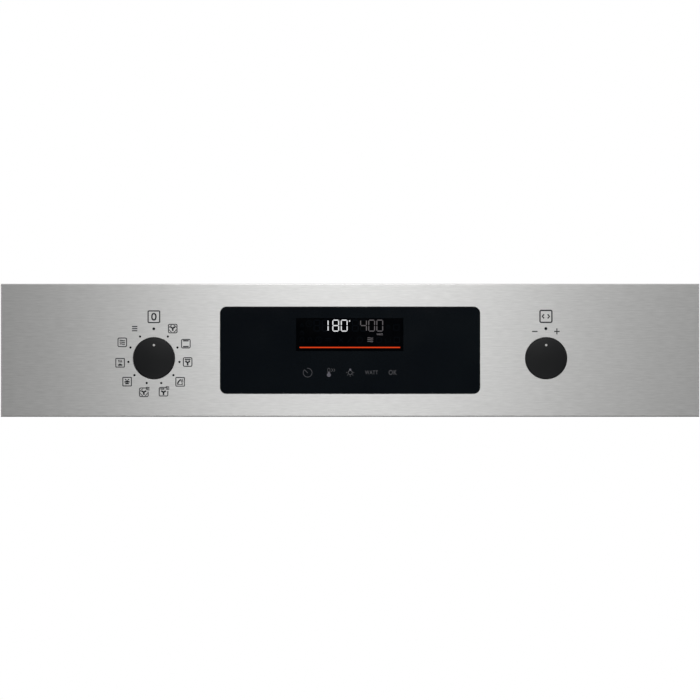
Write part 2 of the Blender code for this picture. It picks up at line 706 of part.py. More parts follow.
def make_latch(side, axis):
    """Slotted sleeve on the spindle's flange. Its fingers hold the hub while the knob is pushed in."""
    inner = HUB_RADIUS + HOLE_GAP
    outer = inner + LATCH_WALL
    foot = FLANGE_FRONT + GAP
    profile = [
        (inner, foot + LATCH_LENGTH),
        (outer, foot + LATCH_LENGTH),
        (outer, foot),
        (inner, foot),
    ]
    latch = add_turned(f"{side}_latch", profile, WHITE_PLASTIC, MEDIUM, axis)
    for slot in range(LATCH_SLOTS):
        angle = (slot + 0.5) * 2 * math.pi / LATCH_SLOTS
        size = (2 * LATCH_WALL + outer, LATCH_SLOT_WIDTH, LATCH_LENGTH)
        middle = Vector((math.cos(angle), math.sin(angle), 0.0)) * (inner + outer) / 2
        slot_box = add_box(f"{side}_latch_slot_{slot}", (4 * LATCH_WALL, *size[1:]), (0.0, 0.0, 0.0))
        slot_box.parent = axis
        slot_box.location = (middle.x, middle.y, foot + LATCH_LENGTH * 0.8)
        slot_box.rotation_euler = (0.0, 0.0, angle)
        cut(latch, slot_box)


def make_spring(side, axis):
    low = FLANGE_FRONT + GAP + SPRING_WIRE / 2
    high = FACE_INNER - GAP - SPRING_WIRE / 2
    steps = SPRING_TURNS * SPRING_STEPS
    points = []
    for step in range(steps + 1):
        angle = step * 2 * math.pi / SPRING_STEPS
        height = low + (high - low) * step / steps
        points.append((SPRING_RADIUS * math.cos(angle), SPRING_RADIUS * math.sin(angle), height))
    add_wire(f"{side}_spring", points, SPRING_WIRE, SPRING_STEEL, axis)


def make_housing(side, axis):
    """Tube that the knob slides in, with a floor for the encoder's bush and posts for its board."""
    front = FACE_AHEAD - SHEET - GAP
    flange_back = front - HOUSING_FLANGE_DEPTH
    flange_radius = HOUSING_OUTER + HOUSING_FLANGE
    bush_hole = BUSH_RADIUS + SLIP
    profile = [
        (HOUSING_INNER, front),
        (flange_radius, front),
        (flange_radius, flange_back),
        (HOUSING_OUTER, flange_back),
        (HOUSING_OUTER, HOUSING_END),
        (bush_hole, HOUSING_END),
        (bush_hole, HOUSING_FLOOR),
        (HOUSING_INNER, HOUSING_FLOOR),
    ]
    housing = add_turned(f"{side}_knob_housing", profile, GREY_PLASTIC, ROUND, axis)
    post_end = SMALL_BOARD_FRONT + GAP
    for end in (-1, 1):
        place = (end * POST_X, POST_Z, 0.0)
        post_start = HOUSING_END + HOUSING_BACK / 2
        join(housing, add_rod(f"{side}_post_{end}", POST_RADIUS, post_end, post_start, place, parent=axis))
        hole = (post_end - SLIP, HOUSING_END)
        radius = SCREW_RADIUS + SCREW_CLEARANCE
        cut(housing, add_rod(f"{side}_post_hole_{end}", radius, *hole, place, parent=axis))


def make_encoder(side, axis):
    middle = (ENCODER_FRONT + ENCODER_BACK) / 2
    body = add_box(f"{side}_encoder", (ENCODER_WIDTH, ENCODER_HEIGHT, ENCODER_DEPTH), (0.0, 0.0, middle), ZINC)
    body.parent = axis
    bush = add_rod(
        f"{side}_bush", BUSH_RADIUS, ENCODER_FRONT - GAP, HOUSING_FLOOR, (0.0, 0.0, 0.0), steps=MEDIUM, parent=axis
    )
    join(body, bush)
    bore_end = ENCODER_FRONT - SPINDLE_IN_ENCODER - GAP
    bore_radius = SPINDLE_RADIUS + SPINDLE_FIT
    bore = add_rod(
        f"{side}_bush_bore", bore_radius, bore_end, HOUSING_FLOOR + SLIP, (0.0, 0.0, 0.0), steps=MEDIUM, parent=axis
    )
    cut(body, bore)


def make_small_board(side, sign, axis):
    """Encoder board with its side-entry socket, the plug in it, and the two screws that hold it."""
    middle = (SMALL_BOARD_FRONT + SMALL_BOARD_BACK) / 2
    size = (SMALL_BOARD_WIDTH, SMALL_BOARD_HEIGHT, BOARD_THICKNESS)
    board = add_box(
        f"{side}_encoder_board", size, (0.0, 0.0, middle), BOARD_GREEN, corner=BOARD_CORNER, axis="Z"
    )
    board.parent = axis
    for end in (-1, 1):
        place = (end * POST_X, POST_Z, 0.0)
        hole = (SMALL_BOARD_BACK - SLIP, SMALL_BOARD_FRONT + SLIP)
        radius = SCREW_RADIUS + SCREW_CLEARANCE
        cut(board, add_rod(f"{side}_board_hole_{end}", radius, *hole, place, parent=axis))
        word = "outer" if end == sign else "inner"
        add_screw(f"{side}_board_screw_{word}", end * POST_X, POST_Z, SMALL_BOARD_BACK, parent=axis)
    width, height, depth = SIDE_SOCKET
    x = -sign * SIDE_SOCKET_X
    socket_middle = SMALL_BOARD_BACK - GAP - depth / 2
    socket = add_box(f"{side}_board_socket", (width, height, depth), (x, SIDE_SOCKET_Z, socket_middle), WHITE_PLASTIC)
    socket.parent = axis
    plug_x = x - sign * (width / 2 + GAP + SIDE_PLUG_LENGTH / 2)
    plug_size = (SIDE_PLUG_LENGTH, height - 2 * PLUG_TAPER, depth - PLUG_TAPER)
    plug = add_box(f"{side}_encoder_plug", plug_size, (plug_x, SIDE_SOCKET_Z, socket_middle), WHITE_PLASTIC)
    plug.parent = axis


def make_control_board():
    size = (BOARD_WIDTH, BOARD_THICKNESS, BOARD_HEIGHT)
    y = (BOARD_FRONT_Y + BOARD_BACK_Y) / 2
    add_box("control_board", size, (0.0, y, 0.0), BOARD_GREEN, corner=BOARD_CORNER)
    width, height, depth = PROCESSOR
    x, z = PROCESSOR_PLACE
    plate_box("processor", width, height, x, z, PARTS_Y, PARTS_Y + depth, material=CHIP_BLACK)
    radius, length = BUZZER
    add_rod("buzzer", radius, -PARTS_Y - length, -PARTS_Y, (BUZZER_PLACE[0], 0.0, BUZZER_PLACE[1]), CHIP_BLACK, MEDIUM)
    radius, length = CAPACITOR
    place = (CAPACITOR_PLACE[0], 0.0, CAPACITOR_PLACE[1])
    add_rod("capacitor", radius, -PARTS_Y - length, -PARTS_Y, place, SPRING_STEEL, MEDIUM)
    width, height, depth = SUPPLY_SOCKET
    x, z = SUPPLY_PLACE
    socket = plate_box("supply_socket", width, height, x, z, PARTS_Y, PARTS_Y + depth, material=WHITE_PLASTIC)
    inner = (width - 2 * SOCKET_WALL, height - 2 * SOCKET_WALL)
    faces = (PARTS_Y + SOCKET_FLOOR, PARTS_Y + depth + SLIP)
    cut(socket, plate_box("supply_hollow", *inner, x, z, *faces))
    width, height, depth = MAIN_SOCKET
    for side, sign in SIDES.items():
        x = sign * MAIN_SOCKET_X
        faces = (PARTS_Y, PARTS_Y + depth)
        plate_box(f"{side}_main_socket", width, height, x, MAIN_SOCKET_Z, *faces, material=WHITE_PLASTIC)
        plug_front = PARTS_Y + depth + GAP
        plug_size = (width - PLUG_TAPER, height - 2 * PLUG_TAPER)
        faces = (plug_front, plug_front + MAIN_PLUG_DEPTH)
        plate_box(f"{side}_main_plug", *plug_size, x, MAIN_SOCKET_Z, *faces, material=WHITE_PLASTIC)


def make_cover():
    """Rear cover over the control board, open towards it, with ears, vents and plug openings."""
    bm = bmesh.new()
    depth = COVER_BACK_Y - COVER_FRONT_Y
    bmesh.ops.create_cube(bm, size=1.0)
    bmesh.ops.scale(bm, vec=(COVER_WIDTH, depth, COVER_HEIGHT), verts=bm.verts)
    bmesh.ops.translate(bm, vec=(0.0, (COVER_BACK_Y + COVER_FRONT_Y) / 2, 0.0), verts=bm.verts)
    bmesh.ops.delete(bm, geom=[f for f in bm.faces if f.normal.y < -0.5], context="FACES_ONLY")
    corners = [e for e in bm.edges if abs((e.verts[0].co - e.verts[1].co).y) > 1e-6]
    bmesh.ops.bevel(bm, geom=corners, offset=COVER_CORNER, segments=4, profile=0.5, affect="EDGES")
    mesh = bpy.data.meshes.new("electronics_cover")
    bm.to_mesh(mesh)
    bm.free()
    cover = add_object("electronics_cover", mesh, GREY_PLASTIC)
    wall = cover.modifiers.new("wall", "SOLIDIFY")
    wall.thickness = COVER_WALL
    wall.offset = -1.0
    wall.use_even_offset = True
    ear_faces = (COVER_FRONT_Y, COVER_FRONT_Y + COVER_WALL)
    for number, (x, z) in enumerate(ear_places(), start=1):
        reach = math.copysign(COVER_WALL / 2, x)
        size = (EAR_LENGTH + COVER_WALL, EAR_HEIGHT)
        join(cover, plate_box(f"ear_{number}", *size, x - reach, z, *ear_faces))
        depth = (-ear_faces[1] - SLIP, -ear_faces[0] + SLIP)
        radius = SCREW_RADIUS + SCREW_CLEARANCE
        cut(cover, add_rod(f"ear_hole_{number}", radius, *depth, (x, 0.0, z)))
    for number, (x, z) in enumerate(boss_places(), start=1):
        ends = (-COVER_BACK_Y + COVER_WALL / 2, -PARTS_Y)
        join(cover, add_rod(f"cover_post_{number}", BOSS_RADIUS, *ends, (x, 0.0, z)))
    through = (COVER_BACK_Y - 2 * COVER_WALL, COVER_BACK_Y + SLIP)
    for slot in range(VENT_COUNT):
        x = VENT_CENTRE[0] + (slot - (VENT_COUNT - 1) / 2) * VENT_PITCH
        cut(cover, plate_box(f"vent_{slot}", *VENT_SIZE, x, VENT_CENTRE[1], *through))
    openings = [
        (SUPPLY_SOCKET, *SUPPLY_PLACE),
        *((MAIN_SOCKET, sign * MAIN_SOCKET_X, MAIN_SOCKET_Z) for sign in SIDES.values()),
    ]
    for number, (size, x, z) in enumerate(openings):
        cut(cover, plate_box(f"plug_opening_{number}", size[0] + 2 * SLIP, size[1] + 2 * SLIP, x, z, *through))


def smooth_route(points, per_span=6):
    """Points on a Catmull-Rom curve through the route's own points."""
    route = [Vector(p) for p in points]
    ends = [2 * route[0] - route[1], *route, 2 * route[-1] - route[-2]]
    made = []
    for before, start, stop, after in zip(ends, ends[1:], ends[2:], ends[3:]):
        for step in range(per_span):
            t = step / per_span
            made.append(
                0.5 * (
                    2 * start
                    + (stop - before) * t
                    + (2 * before - 5 * start + 4 * stop - after) * t * t
                    + (3 * start - before - 3 * stop + after) * t ** 3
                )
            )
    return [*made, route[-1]]


def make_lead(side, sign):
    """Lead from the encoder board's plug to the plug on the control board, lying behind the cover."""
    plug_end_x = KNOB_SPACING / 2 - SIDE_SOCKET_X - SIDE_SOCKET[0] / 2 - 2 * GAP - SIDE_PLUG_LENGTH
    start = Vector((plug_end_x, -SMALL_BOARD_BACK + GAP + SIDE_SOCKET[2] / 2, KNOB_Z + SIDE_SOCKET_Z))
    end_y = PARTS_Y + MAIN_SOCKET[2] + 2 * GAP + MAIN_PLUG_DEPTH
    end = Vector((MAIN_SOCKET_X, end_y, MAIN_SOCKET_Z))
    bend = 2 * LEAD_DIAMETER
    route = [
        start,
        start - Vector((bend / 2, 0.0, 0.0)),
        start.lerp(end, 0.55) + Vector((0.0, bend * 0.62, -bend / 4)),
        end + Vector((bend / 3, bend * 0.85, -bend / 6)),
        end + Vector((0.0, bend / 3, 0.0)),
        end,
    ]
    points = [(sign * p.x, p.y, p.z) for p in smooth_route(route)]
    add_wire(f"{side}_lead", points, LEAD_DIAMETER, LEAD_GREY)


def make_seal():
    """Foam strip on the back of the top lip, which closes the gap to the oven's top plate."""
    width, depth, height = SEAL_SIZE
    front = RETURN_END_Y + GAP
    top = PANEL_HEIGHT / 2 - SHEET
    plate_box("top_seal", width, height, 0.0, top - height / 2, front, front + depth, material=FOAM_GREY)


def main():
    make_fascia()
    make_window()
    make_display()
    make_carrier()
    make_control_board()
    make_cover()
    make_screws()
    make_earth_tab()
    make_seal()
    for side, sign in SIDES.items():
        make_bracket(side, sign)
        make_knob_parts(side, sign)
        make_lead(side, sign)


main()
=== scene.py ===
# %% [markdown]
# # The control panel of a built-in wall oven
# A folded sheet of brushed steel carries a black glass window and two round knobs that lie flush with it. Behind
# the sheet sit a moulded carrier, the electronics under their cover, and the brackets that hang it all on the oven.
# The solid parts come from a CAD model. This lesson gives each one its surface, its small shapes and its colour.

# %% Load the solids
import math
import random

import bmesh
import bpy
from mathutils import Matrix, Vector


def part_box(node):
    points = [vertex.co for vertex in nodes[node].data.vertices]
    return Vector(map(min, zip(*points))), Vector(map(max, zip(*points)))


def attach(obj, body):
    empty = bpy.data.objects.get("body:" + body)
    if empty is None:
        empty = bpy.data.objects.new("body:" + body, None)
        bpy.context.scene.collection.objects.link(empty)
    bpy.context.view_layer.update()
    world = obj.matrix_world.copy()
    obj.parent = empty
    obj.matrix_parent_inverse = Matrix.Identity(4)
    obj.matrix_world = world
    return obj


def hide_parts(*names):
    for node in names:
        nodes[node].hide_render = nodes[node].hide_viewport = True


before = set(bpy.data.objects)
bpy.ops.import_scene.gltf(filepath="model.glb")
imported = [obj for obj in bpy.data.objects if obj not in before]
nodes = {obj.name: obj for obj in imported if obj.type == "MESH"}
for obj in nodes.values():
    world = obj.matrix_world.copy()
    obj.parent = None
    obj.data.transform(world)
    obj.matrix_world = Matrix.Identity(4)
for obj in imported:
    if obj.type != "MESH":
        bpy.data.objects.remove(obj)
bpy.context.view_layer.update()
mm = 0.001
tau = 2 * math.pi

# %% [markdown]
# ## Places and sizes
# Everything is in metres, with the front facing -Y. A solid knows its own place, so the new pieces read it from
# there. The window's cut-out and the knob holes aren't solids of their own, so their sizes are written here.

# %% Read the places that matter
panel_low, panel_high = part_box("fascia")
face = panel_low.y
window_size = (221.5 * mm, 74.4 * mm)
window_corner = 5.7 * mm
hole_radius = 18.0 * mm
sheet = 0.8 * mm


def middle(node):
    low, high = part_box(node)
    return (low + high) / 2


knob_places = {side: middle(f"{side}_knob") for side in ("left", "right")}
print("front face at", round(face / mm, 2), "mm; knobs at", [round(p.x / mm, 1) for p in knob_places.values()])

# %% [markdown]
# ## Camera
# The panel is looked at squarely from far away, so its edges stay parallel. A long lens 2.6 m off does that. The
# frame is square and the panel fills its width but for a hair's breadth on each side.

# %% Set the camera
view_distance = 2.6
frame_width = 0.59575
camera_data = bpy.data.cameras.new("front_camera")
camera_data.lens = camera_data.sensor_width * view_distance / frame_width
camera = bpy.data.objects.new("front_camera", camera_data)
camera.location = (-0.05 * mm, face - view_distance, 0.22 * mm)
camera.rotation_euler = (math.radians(90), 0, 0)
bpy.context.scene.collection.objects.link(camera)
bpy.context.scene.camera = camera
print("lens", round(camera_data.lens, 1), "mm")

# %% [markdown]
# ## How a finish is made
# Most finishes are one shader with a plain colour, a little unevenness in gloss, and a fine grain that tilts the
# surface. The grain is noise in the object's own coordinates, so it has a real size in metres and stays put.

# %% Helpers for finishes
def set_inputs(node, **values):
    """Sets inputs by their names: from_min is the input From Min."""
    for label, value in values.items():
        node.inputs[label.replace("_", " ").title().replace("Ior", "IOR")].default_value = value
    return node


def new_node(tree, kind, **values):
    """A new shader node whose inputs start with these values."""
    return set_inputs(tree.nodes.new(f"ShaderNode{kind}"), **values)


def join(tree, *pairs):
    """Links each output to its input."""
    for source, goal in pairs:
        tree.links.new(source, goal)


def new_finish(name, colour, roughness, metallic=0.0, **constants):
    """A material whose shader starts with these values. Returns it with its node tree and shader."""
    material = bpy.data.materials.new(name)
    material.use_nodes = True
    shader = material.node_tree.nodes["Principled BSDF"]
    set_inputs(shader, base_color=(*colour, 1), roughness=roughness, metallic=metallic, **constants)
    return material, material.node_tree, shader


def noise(tree, scale, detail=2.0, stretch=(1, 1, 1), source="Object"):
    """A noise pattern with about this many grains to the metre, longer where stretch is small."""
    place = new_node(tree, "TexCoord")
    mapping = new_node(tree, "Mapping", scale=stretch)
    pattern = new_node(tree, "TexNoise", scale=scale, detail=detail)
    join(tree, (place.outputs[source], mapping.inputs["Vector"]), (mapping.outputs[0], pattern.inputs["Vector"]))
    return pattern.outputs["Fac"]


def spread(tree, pattern, low, high, socket):
    """Feeds a socket with a pattern spread between two values."""
    change = new_node(tree, "MapRange", from_min=0.3, from_max=0.7, to_min=low, to_max=high)
    join(tree, (pattern, change.inputs["Value"]), (change.outputs["Result"], socket))


def tint(tree, pattern, dark, light, socket):
    """Feeds a colour socket with a pattern that runs from one colour to another."""
    ramp = new_node(tree, "ValToRGB")
    for element, position, colour in zip(ramp.color_ramp.elements, (0.3, 0.7), (dark, light)):
        element.position = position
        element.color = (*colour, 1)
    join(tree, (pattern, ramp.inputs["Fac"]), (ramp.outputs["Color"], socket))


def bump(tree, pattern, height, shader, strength=1.0):
    """Raises the surface by up to this height, in metres, where the pattern is light."""
    relief = new_node(tree, "Bump", distance=height, strength=strength)
    join(tree, (pattern, relief.inputs["Height"]), (relief.outputs["Normal"], shader.inputs["Normal"]))


def moulded(name, colour, roughness=0.5, grain=1400, height=0.02 * mm, patchy=1.0, **constants):
    """Moulded plastic: fine spark-eroded grain, and gloss that wanders a little over the piece."""
    material, tree, shader = new_finish(name, colour, roughness, **constants)
    bump(tree, noise(tree, grain, 3), height, shader)
    spread(tree, noise(tree, 45), roughness - 0.06 * patchy, roughness + 0.06 * patchy, shader.inputs["Roughness"])
    light = tuple(c * (1 + 0.15 * patchy) for c in colour)
    dark = tuple(c * (1 - 0.13 * patchy) for c in colour)
    tint(tree, noise(tree, 70, 4), dark, light, shader.inputs["Base Color"])
    return material


# %% [markdown]
# ## Brushed steel
# The sheet is brushed from side to side, so its scratches are long in X and very thin in Z. Such a surface smears
# reflections across the scratches and hardly along them. The shader's anisotropy does that, guided by a UV map
# whose U axis runs across the brushing. The same map stretches noise into streaks a centimetre long.

# %% Brushed steel finish
steel, tree, shader = new_finish("brushed_steel", (0.62, 0.62, 0.615), 0.31, 1.0, anisotropic=0.95)
streaks = noise(tree, 1050, 3, (1, 0.11, 1), "UV")
long_streaks = noise(tree, 800, 2, (1, 0.035, 1), "UV")
blend = new_node(tree, "Mix", factor=0.3)
join(tree, (streaks, blend.inputs["A"]), (long_streaks, blend.inputs["B"]))
mixed = blend.outputs["Result"]
tint(tree, mixed, (0.572, 0.572, 0.566), (0.668, 0.668, 0.661), shader.inputs["Base Color"])
spread(tree, mixed, 0.294, 0.326, shader.inputs["Roughness"])
bump(tree, streaks, 0.003 * mm, shader, 0.24)
across = new_node(tree, "Tangent")
across.direction_type = "UV_MAP"
across.uv_map = "brushing"
join(tree, (across.outputs["Tangent"], shader.inputs["Tangent"]))

# %% [markdown]
# ## The other metals
# Zinc plating on the brackets and screws is a cold grey with soft cloudy patches. The spindle is ground steel, and
# the contacts are tinned brass.

# %% Metal finishes
def plated(name, dark, light, roughness, patches):
    material, tree, shader = new_finish(name, light, roughness, 1.0)
    clouds = noise(tree, patches, 5)
    tint(tree, clouds, dark, light, shader.inputs["Base Color"])
    spread(tree, clouds, roughness - 0.07, roughness + 0.09, shader.inputs["Roughness"])
    bump(tree, noise(tree, 900, 3), 0.01 * mm, shader, 0.5)
    return material


zinc = plated("zinc_plating", (0.50, 0.51, 0.52), (0.66, 0.67, 0.68), 0.36, 240)
ground_steel = plated("ground_steel", (0.48, 0.48, 0.49), (0.58, 0.58, 0.60), 0.24, 500)
tinned_brass = plated("tinned_brass", (0.60, 0.52, 0.36), (0.76, 0.70, 0.56), 0.3, 400)
solder = plated("solder", (0.52, 0.53, 0.54), (0.72, 0.72, 0.72), 0.22, 900)
aluminium = plated("capacitor_can", (0.58, 0.58, 0.59), (0.70, 0.70, 0.71), 0.3, 300)

# %% [markdown]
# ## Plastics, rubber and foam
# Each moulding gets its own grey and grain. The carrier and the cover have the coarse grain of parts that nobody
# sees, while the knobs have a fine silky one.

# %% Plastic, rubber and foam finishes
knob_black = moulded("knob_black", (0.0072, 0.0076, 0.0084), 0.31, 2600, 0.005 * mm, 0.25, specular_ior_level=0.28)
carrier_black = moulded("carrier_black", (0.030, 0.031, 0.033), 0.56, 1100, 0.03 * mm)
cover_grey = moulded("cover_grey", (0.085, 0.088, 0.093), 0.52, 1100, 0.03 * mm)
socket_white = moulded("socket_white", (0.74, 0.73, 0.67), 0.38, 1800, 0.01 * mm, subsurface_weight=0.05)
latch_white = moulded("latch_white", (0.70, 0.70, 0.66), 0.35, 1800, 0.008 * mm)
chip_black = moulded("chip_black", (0.016, 0.016, 0.018), 0.48, 2200, 0.012 * mm)
ceramic_tan = moulded("ceramic_tan", (0.42, 0.31, 0.19), 0.4, 2400, 0.006 * mm)
pointer_white = moulded("pointer_white", (0.52, 0.52, 0.51), 0.5, 2400, 0.004 * mm, specular_ior_level=0.3)
seal_foam = moulded("seal_foam", (0.10, 0.10, 0.105), 0.9, 620, 0.35 * mm)
tape_black = moulded("tape_black", (0.016, 0.016, 0.017), 0.8, 900, 0.05 * mm)
wire_colours = {
    "black": (0.018, 0.018, 0.020),
    "red": (0.42, 0.018, 0.014),
    "white": (0.66, 0.65, 0.62),
    "yellow": (0.62, 0.42, 0.03),
}
wire_finishes = [moulded(f"wire_{name}", colour, 0.42, 1500, 0.008 * mm) for name, colour in wire_colours.items()]

# %% [markdown]
# ## Black glass
# The window is clear glass printed black on its back face, so from the front it is one deep, nearly even black.
# Faint finger marks change its gloss a little here and there.

# %% Glass finish
glass, tree, shader = new_finish("black_glass", (0.0031, 0.0048, 0.0068), 0.05)
spread(tree, noise(tree, 26, 5), 0.035, 0.085, shader.inputs["Roughness"])
tint(tree, noise(tree, 14, 2), (0.0026, 0.0040, 0.0060), (0.0036, 0.0055, 0.0075), shader.inputs["Base Color"])
screen_black = moulded("screen_black", (0.0003, 0.0006, 0.0012), 0.12, 2600, 0.0005 * mm, specular_ior_level=0.06)

# %% [markdown]
# ## Ink and light
# Symbols on the steel are dark grey ink. Symbols on the glass are a dimmer grey. The lit figures give off their own
# light, so their shader emits it and takes no part in the room's. Unlit bars and signs get a faint painted glow
# instead of the light that they would reflect.

# %% Ink and lit finishes
ink = moulded("dial_ink", (0.026, 0.027, 0.031), 0.6, 2400, 0.003 * mm, specular_ior_level=0.15)
dot_ink = moulded("dot_ink", (0.0015, 0.0018, 0.004), 0.6, 2400, 0.003 * mm, specular_ior_level=0.08)


def lit(name, colour, strength):
    return new_finish(name, (0.0, 0.0, 0.0), 0.5, specular_ior_level=0.0,
                      emission_color=(*colour, 1), emission_strength=strength)[0]


white_light = lit("white_figures", (0.97, 0.98, 1.0), 0.84)
dim_light = lit("dim_figures", (1.0, 0.93, 0.97), 0.115)
orange_light = lit("orange_bar", (1.0, 0.075, 0.014), 0.72)
symbol_light = lit("touch_symbols", (0.93, 0.93, 1.0), 0.072)
bulb_light = lit("touch_bulbs", (0.88, 0.86, 1.0), 0.12)
# Painted glow: unlit bars and signs emit a faint bluish light in place of the light they would reflect.
unlit_painted_glow = lit("unlit_segments_painted_glow", (0.55, 0.75, 1.0), 0.005)

# %% [markdown]
# ## Circuit boards
# A board is glass fibre under green lacquer. The lacquer is thin over the copper, so the tracks show as a paler
# green. They are modelled as flat ribbons, and the lacquer has a fine weave under it.

# %% Circuit board finishes
board_green, tree, shader = new_finish("board_green", (0.012, 0.085, 0.035), 0.32)
weave = noise(tree, 1600, 2, (1, 1, 0.5))
bump(tree, weave, 0.01 * mm, shader, 0.6)
tint(tree, noise(tree, 120, 4), (0.010, 0.070, 0.028), (0.014, 0.098, 0.042), shader.inputs["Base Color"])
track_green = moulded("track_green", (0.035, 0.17, 0.065), 0.3, 1600, 0.004 * mm)
print(len(bpy.data.materials), "finishes")

# %% [markdown]
# ## How a piece is made
# A piece is shaped as a bmesh, which is then written to a mesh and rides on one of the moving bodies. Faces that meet
# at a shallow angle are shaded smooth, and sharper edges stay crisp.


def as_mesh(name, bm):
    """Writes a bmesh to a mesh, and lets the bmesh go."""
    mesh = bpy.data.meshes.new(name)
    bm.to_mesh(mesh)
    bm.free()
    return mesh


def placed(name, data):
    """Puts data into the scene as an object at the origin."""
    item = bpy.data.objects.new(name, data)
    bpy.context.scene.collection.objects.link(item)
    return item


def level_shading(piece):
    """Large flat faces keep their own direction, and the small rounded edges blend into them."""
    change = piece.modifiers.new("level_shading", "WEIGHTED_NORMAL")
    change.keep_sharp = True
    change.weight = 100


def add_mesh(name, mesh, body, finish, stands_for=(), sharp=35, weighted=False):
    """Makes a piece of a mesh. Edges sharper than so many degrees stay crisp."""
    mesh.shade_smooth()
    mesh.set_sharp_from_angle(angle=math.radians(sharp))
    mesh.materials.append(finish)
    piece = placed(name, mesh)
    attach(piece, body)
    if stands_for:
        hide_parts(*stands_for)
    if weighted:
        level_shading(piece)
    return piece


def weld(bm):
    """Joins points that coincide and turns every face outwards."""
    bmesh.ops.remove_doubles(bm, verts=bm.verts, dist=0.001 * mm)
    bmesh.ops.recalc_face_normals(bm, faces=bm.faces)


def add_piece(name, bm, body, finish, clean=True, **choices):
    if clean:
        weld(bm)
    return add_mesh(name, as_mesh(name, bm), body, finish, **choices)


# %% [markdown]
# ## The steel front
# The front starts as a box without a back, whose folds are rounded as a press brake leaves them. Its openings are
# cut out of the flat face by filling the face again between outlines: the outer edge, the window and the two holes.
# Building it open and giving it a wall afterwards keeps the sheet 0.8 mm thick everywhere, as a folded sheet is.

# %% Outlines for flat faces
def rounded_points(width, height, corner, steps=10):
    """Corner arcs of an upright rectangle, as (x, z) pairs, anticlockwise as seen from the front."""
    points = []
    for quarter, (sx, sz) in enumerate(((1, 1), (-1, 1), (-1, -1), (1, -1))):
        for step in range(steps + 1):
            angle = (quarter + step / steps) * tau / 4
            x = sx * (width / 2 - corner) + corner * math.cos(angle)
            z = sz * (height / 2 - corner) + corner * math.sin(angle)
            points.append((x, z))
    return points


def add_loop(bm, points, y):
    """A closed loop of edges in the plane y."""
    verts = [bm.verts.new((x, y, z)) for x, z in points]
    return [bm.edges.new((a, b)) for a, b in zip(verts, verts[1:] + verts[:1])]


def round_edges(bm, edges, width, segments=2, **choices):
    bmesh.ops.bevel(bm, geom=edges, offset=width, segments=segments, profile=0.5, affect="EDGES", material=-1,
                    **choices)


def vertices_of(made):
    """The new vertices among what an extrusion made."""
    return [item for item in made["geom"] if isinstance(item, bmesh.types.BMVert)]


def circle_points(x, z, radius, steps=96):
    turns = [step * tau / steps for step in range(steps)]
    return [(x + radius * math.cos(t), z + radius * math.sin(t)) for t in turns]


# %% Fold the front
bend = 1.1 * mm
lip = 7.8 * mm
half_width, half_height = panel_high.x, panel_high.z
flat_points = [
    (sx * (half_width - bend), sz * (half_height - bend)) for sx, sz in ((1, 1), (-1, 1), (-1, -1), (1, -1))
]
bm = bmesh.new()
outer_edges = add_loop(bm, flat_points, face)
opening_edges = add_loop(bm, rounded_points(*window_size, window_corner), face)
for place in knob_places.values():
    opening_edges += add_loop(bm, circle_points(place.x, place.z, hole_radius), face)
bmesh.ops.triangle_fill(bm, edges=outer_edges + opening_edges, use_beauty=True)


def open_edges():
    return [e for e in bm.edges if e.is_boundary and e not in opening_edges]


fold_steps = 6
for step in range(1, fold_steps + 1):
    turn = step / fold_steps * tau / 4
    made = bmesh.ops.extrude_edge_only(bm, edges=open_edges())
    reach = 1 + bend * math.sin(turn) / (half_width - bend), 1 + bend * math.sin(turn) / (half_height - bend)
    for vert in vertices_of(made):
        vert.co.x = math.copysign((half_width - bend) * reach[0], vert.co.x)
        vert.co.z = math.copysign((half_height - bend) * reach[1], vert.co.z)
        vert.co.y = face + bend * (1 - math.cos(turn))
for vert in vertices_of(bmesh.ops.extrude_edge_only(bm, edges=open_edges())):
    vert.co.y = panel_high.y - sheet
print(len(bm.verts), "points in the folded front")

# %% [markdown]
# The top and bottom edges fold inwards once more, which stiffens the sheet and gives the foam seal its seat. The
# side returns end straight. The UV map then records the brushing, in metres: U across it and V along it.

# %% Fold the lips, map the brushing and give the sheet its thickness
for sign in (1, -1):
    far = panel_high.y - sheet
    edges = [
        e for e in bm.edges if e.is_boundary
        and all(abs(v.co.y - far) < 1e-7 and abs(v.co.z * sign - half_height) < 1e-7 for v in e.verts)
    ]
    for reach, depth in ((0.3 * sheet, 0.7 * sheet), (lip, sheet)):
        made = bmesh.ops.extrude_edge_only(bm, edges=edges)
        verts = vertices_of(made)
        for vert in verts:
            vert.co.z = sign * (half_height - reach)
            vert.co.y = far + depth
            vert.co.x = math.copysign(half_width - reach, vert.co.x)
        edges = [item for item in made["geom"] if isinstance(item, bmesh.types.BMEdge) and item.is_boundary
                 and all(v in verts for v in item.verts)]
bmesh.ops.recalc_face_normals(bm, faces=bm.faces)
if min(bm.faces, key=lambda f: f.calc_center_median().y).normal.y > 0:
    bmesh.ops.reverse_faces(bm, faces=bm.faces)
brushing = bm.loops.layers.uv.new("brushing")
for part in bm.faces:
    side = max(range(3), key=lambda axis: abs(part.normal[axis]))
    for corner in part.loops:
        x, y, z = corner.vert.co
        corner[brushing].uv = {0: (z, y), 1: (z, x), 2: (y, x)}[side]
front = add_piece("steel_front", bm, "panel", steel, stands_for=["fascia"], sharp=30, clean=False)
wall = front.modifiers.new("sheet", "SOLIDIFY")
wall.thickness = sheet
wall.offset = -1
wall.use_even_offset = True
rounding = front.modifiers.new("deburred_edges", "BEVEL")
rounding.width = 0.18 * mm
rounding.segments = 3
rounding.limit_method = "ANGLE"
rounding.angle_limit = math.radians(60)
rounding.use_clamp_overlap = True
level_shading(front)
print("steel front", [round(v / mm, 1) for v in front.dimensions])

# %% [markdown]
# ## The window
# The glass pad fills the cut-out and stands a hair behind the steel, with a ground edge all round. It is a rounded
# outline given depth, with its front edge bevelled. Behind it a wider flange is stuck to the sheet.

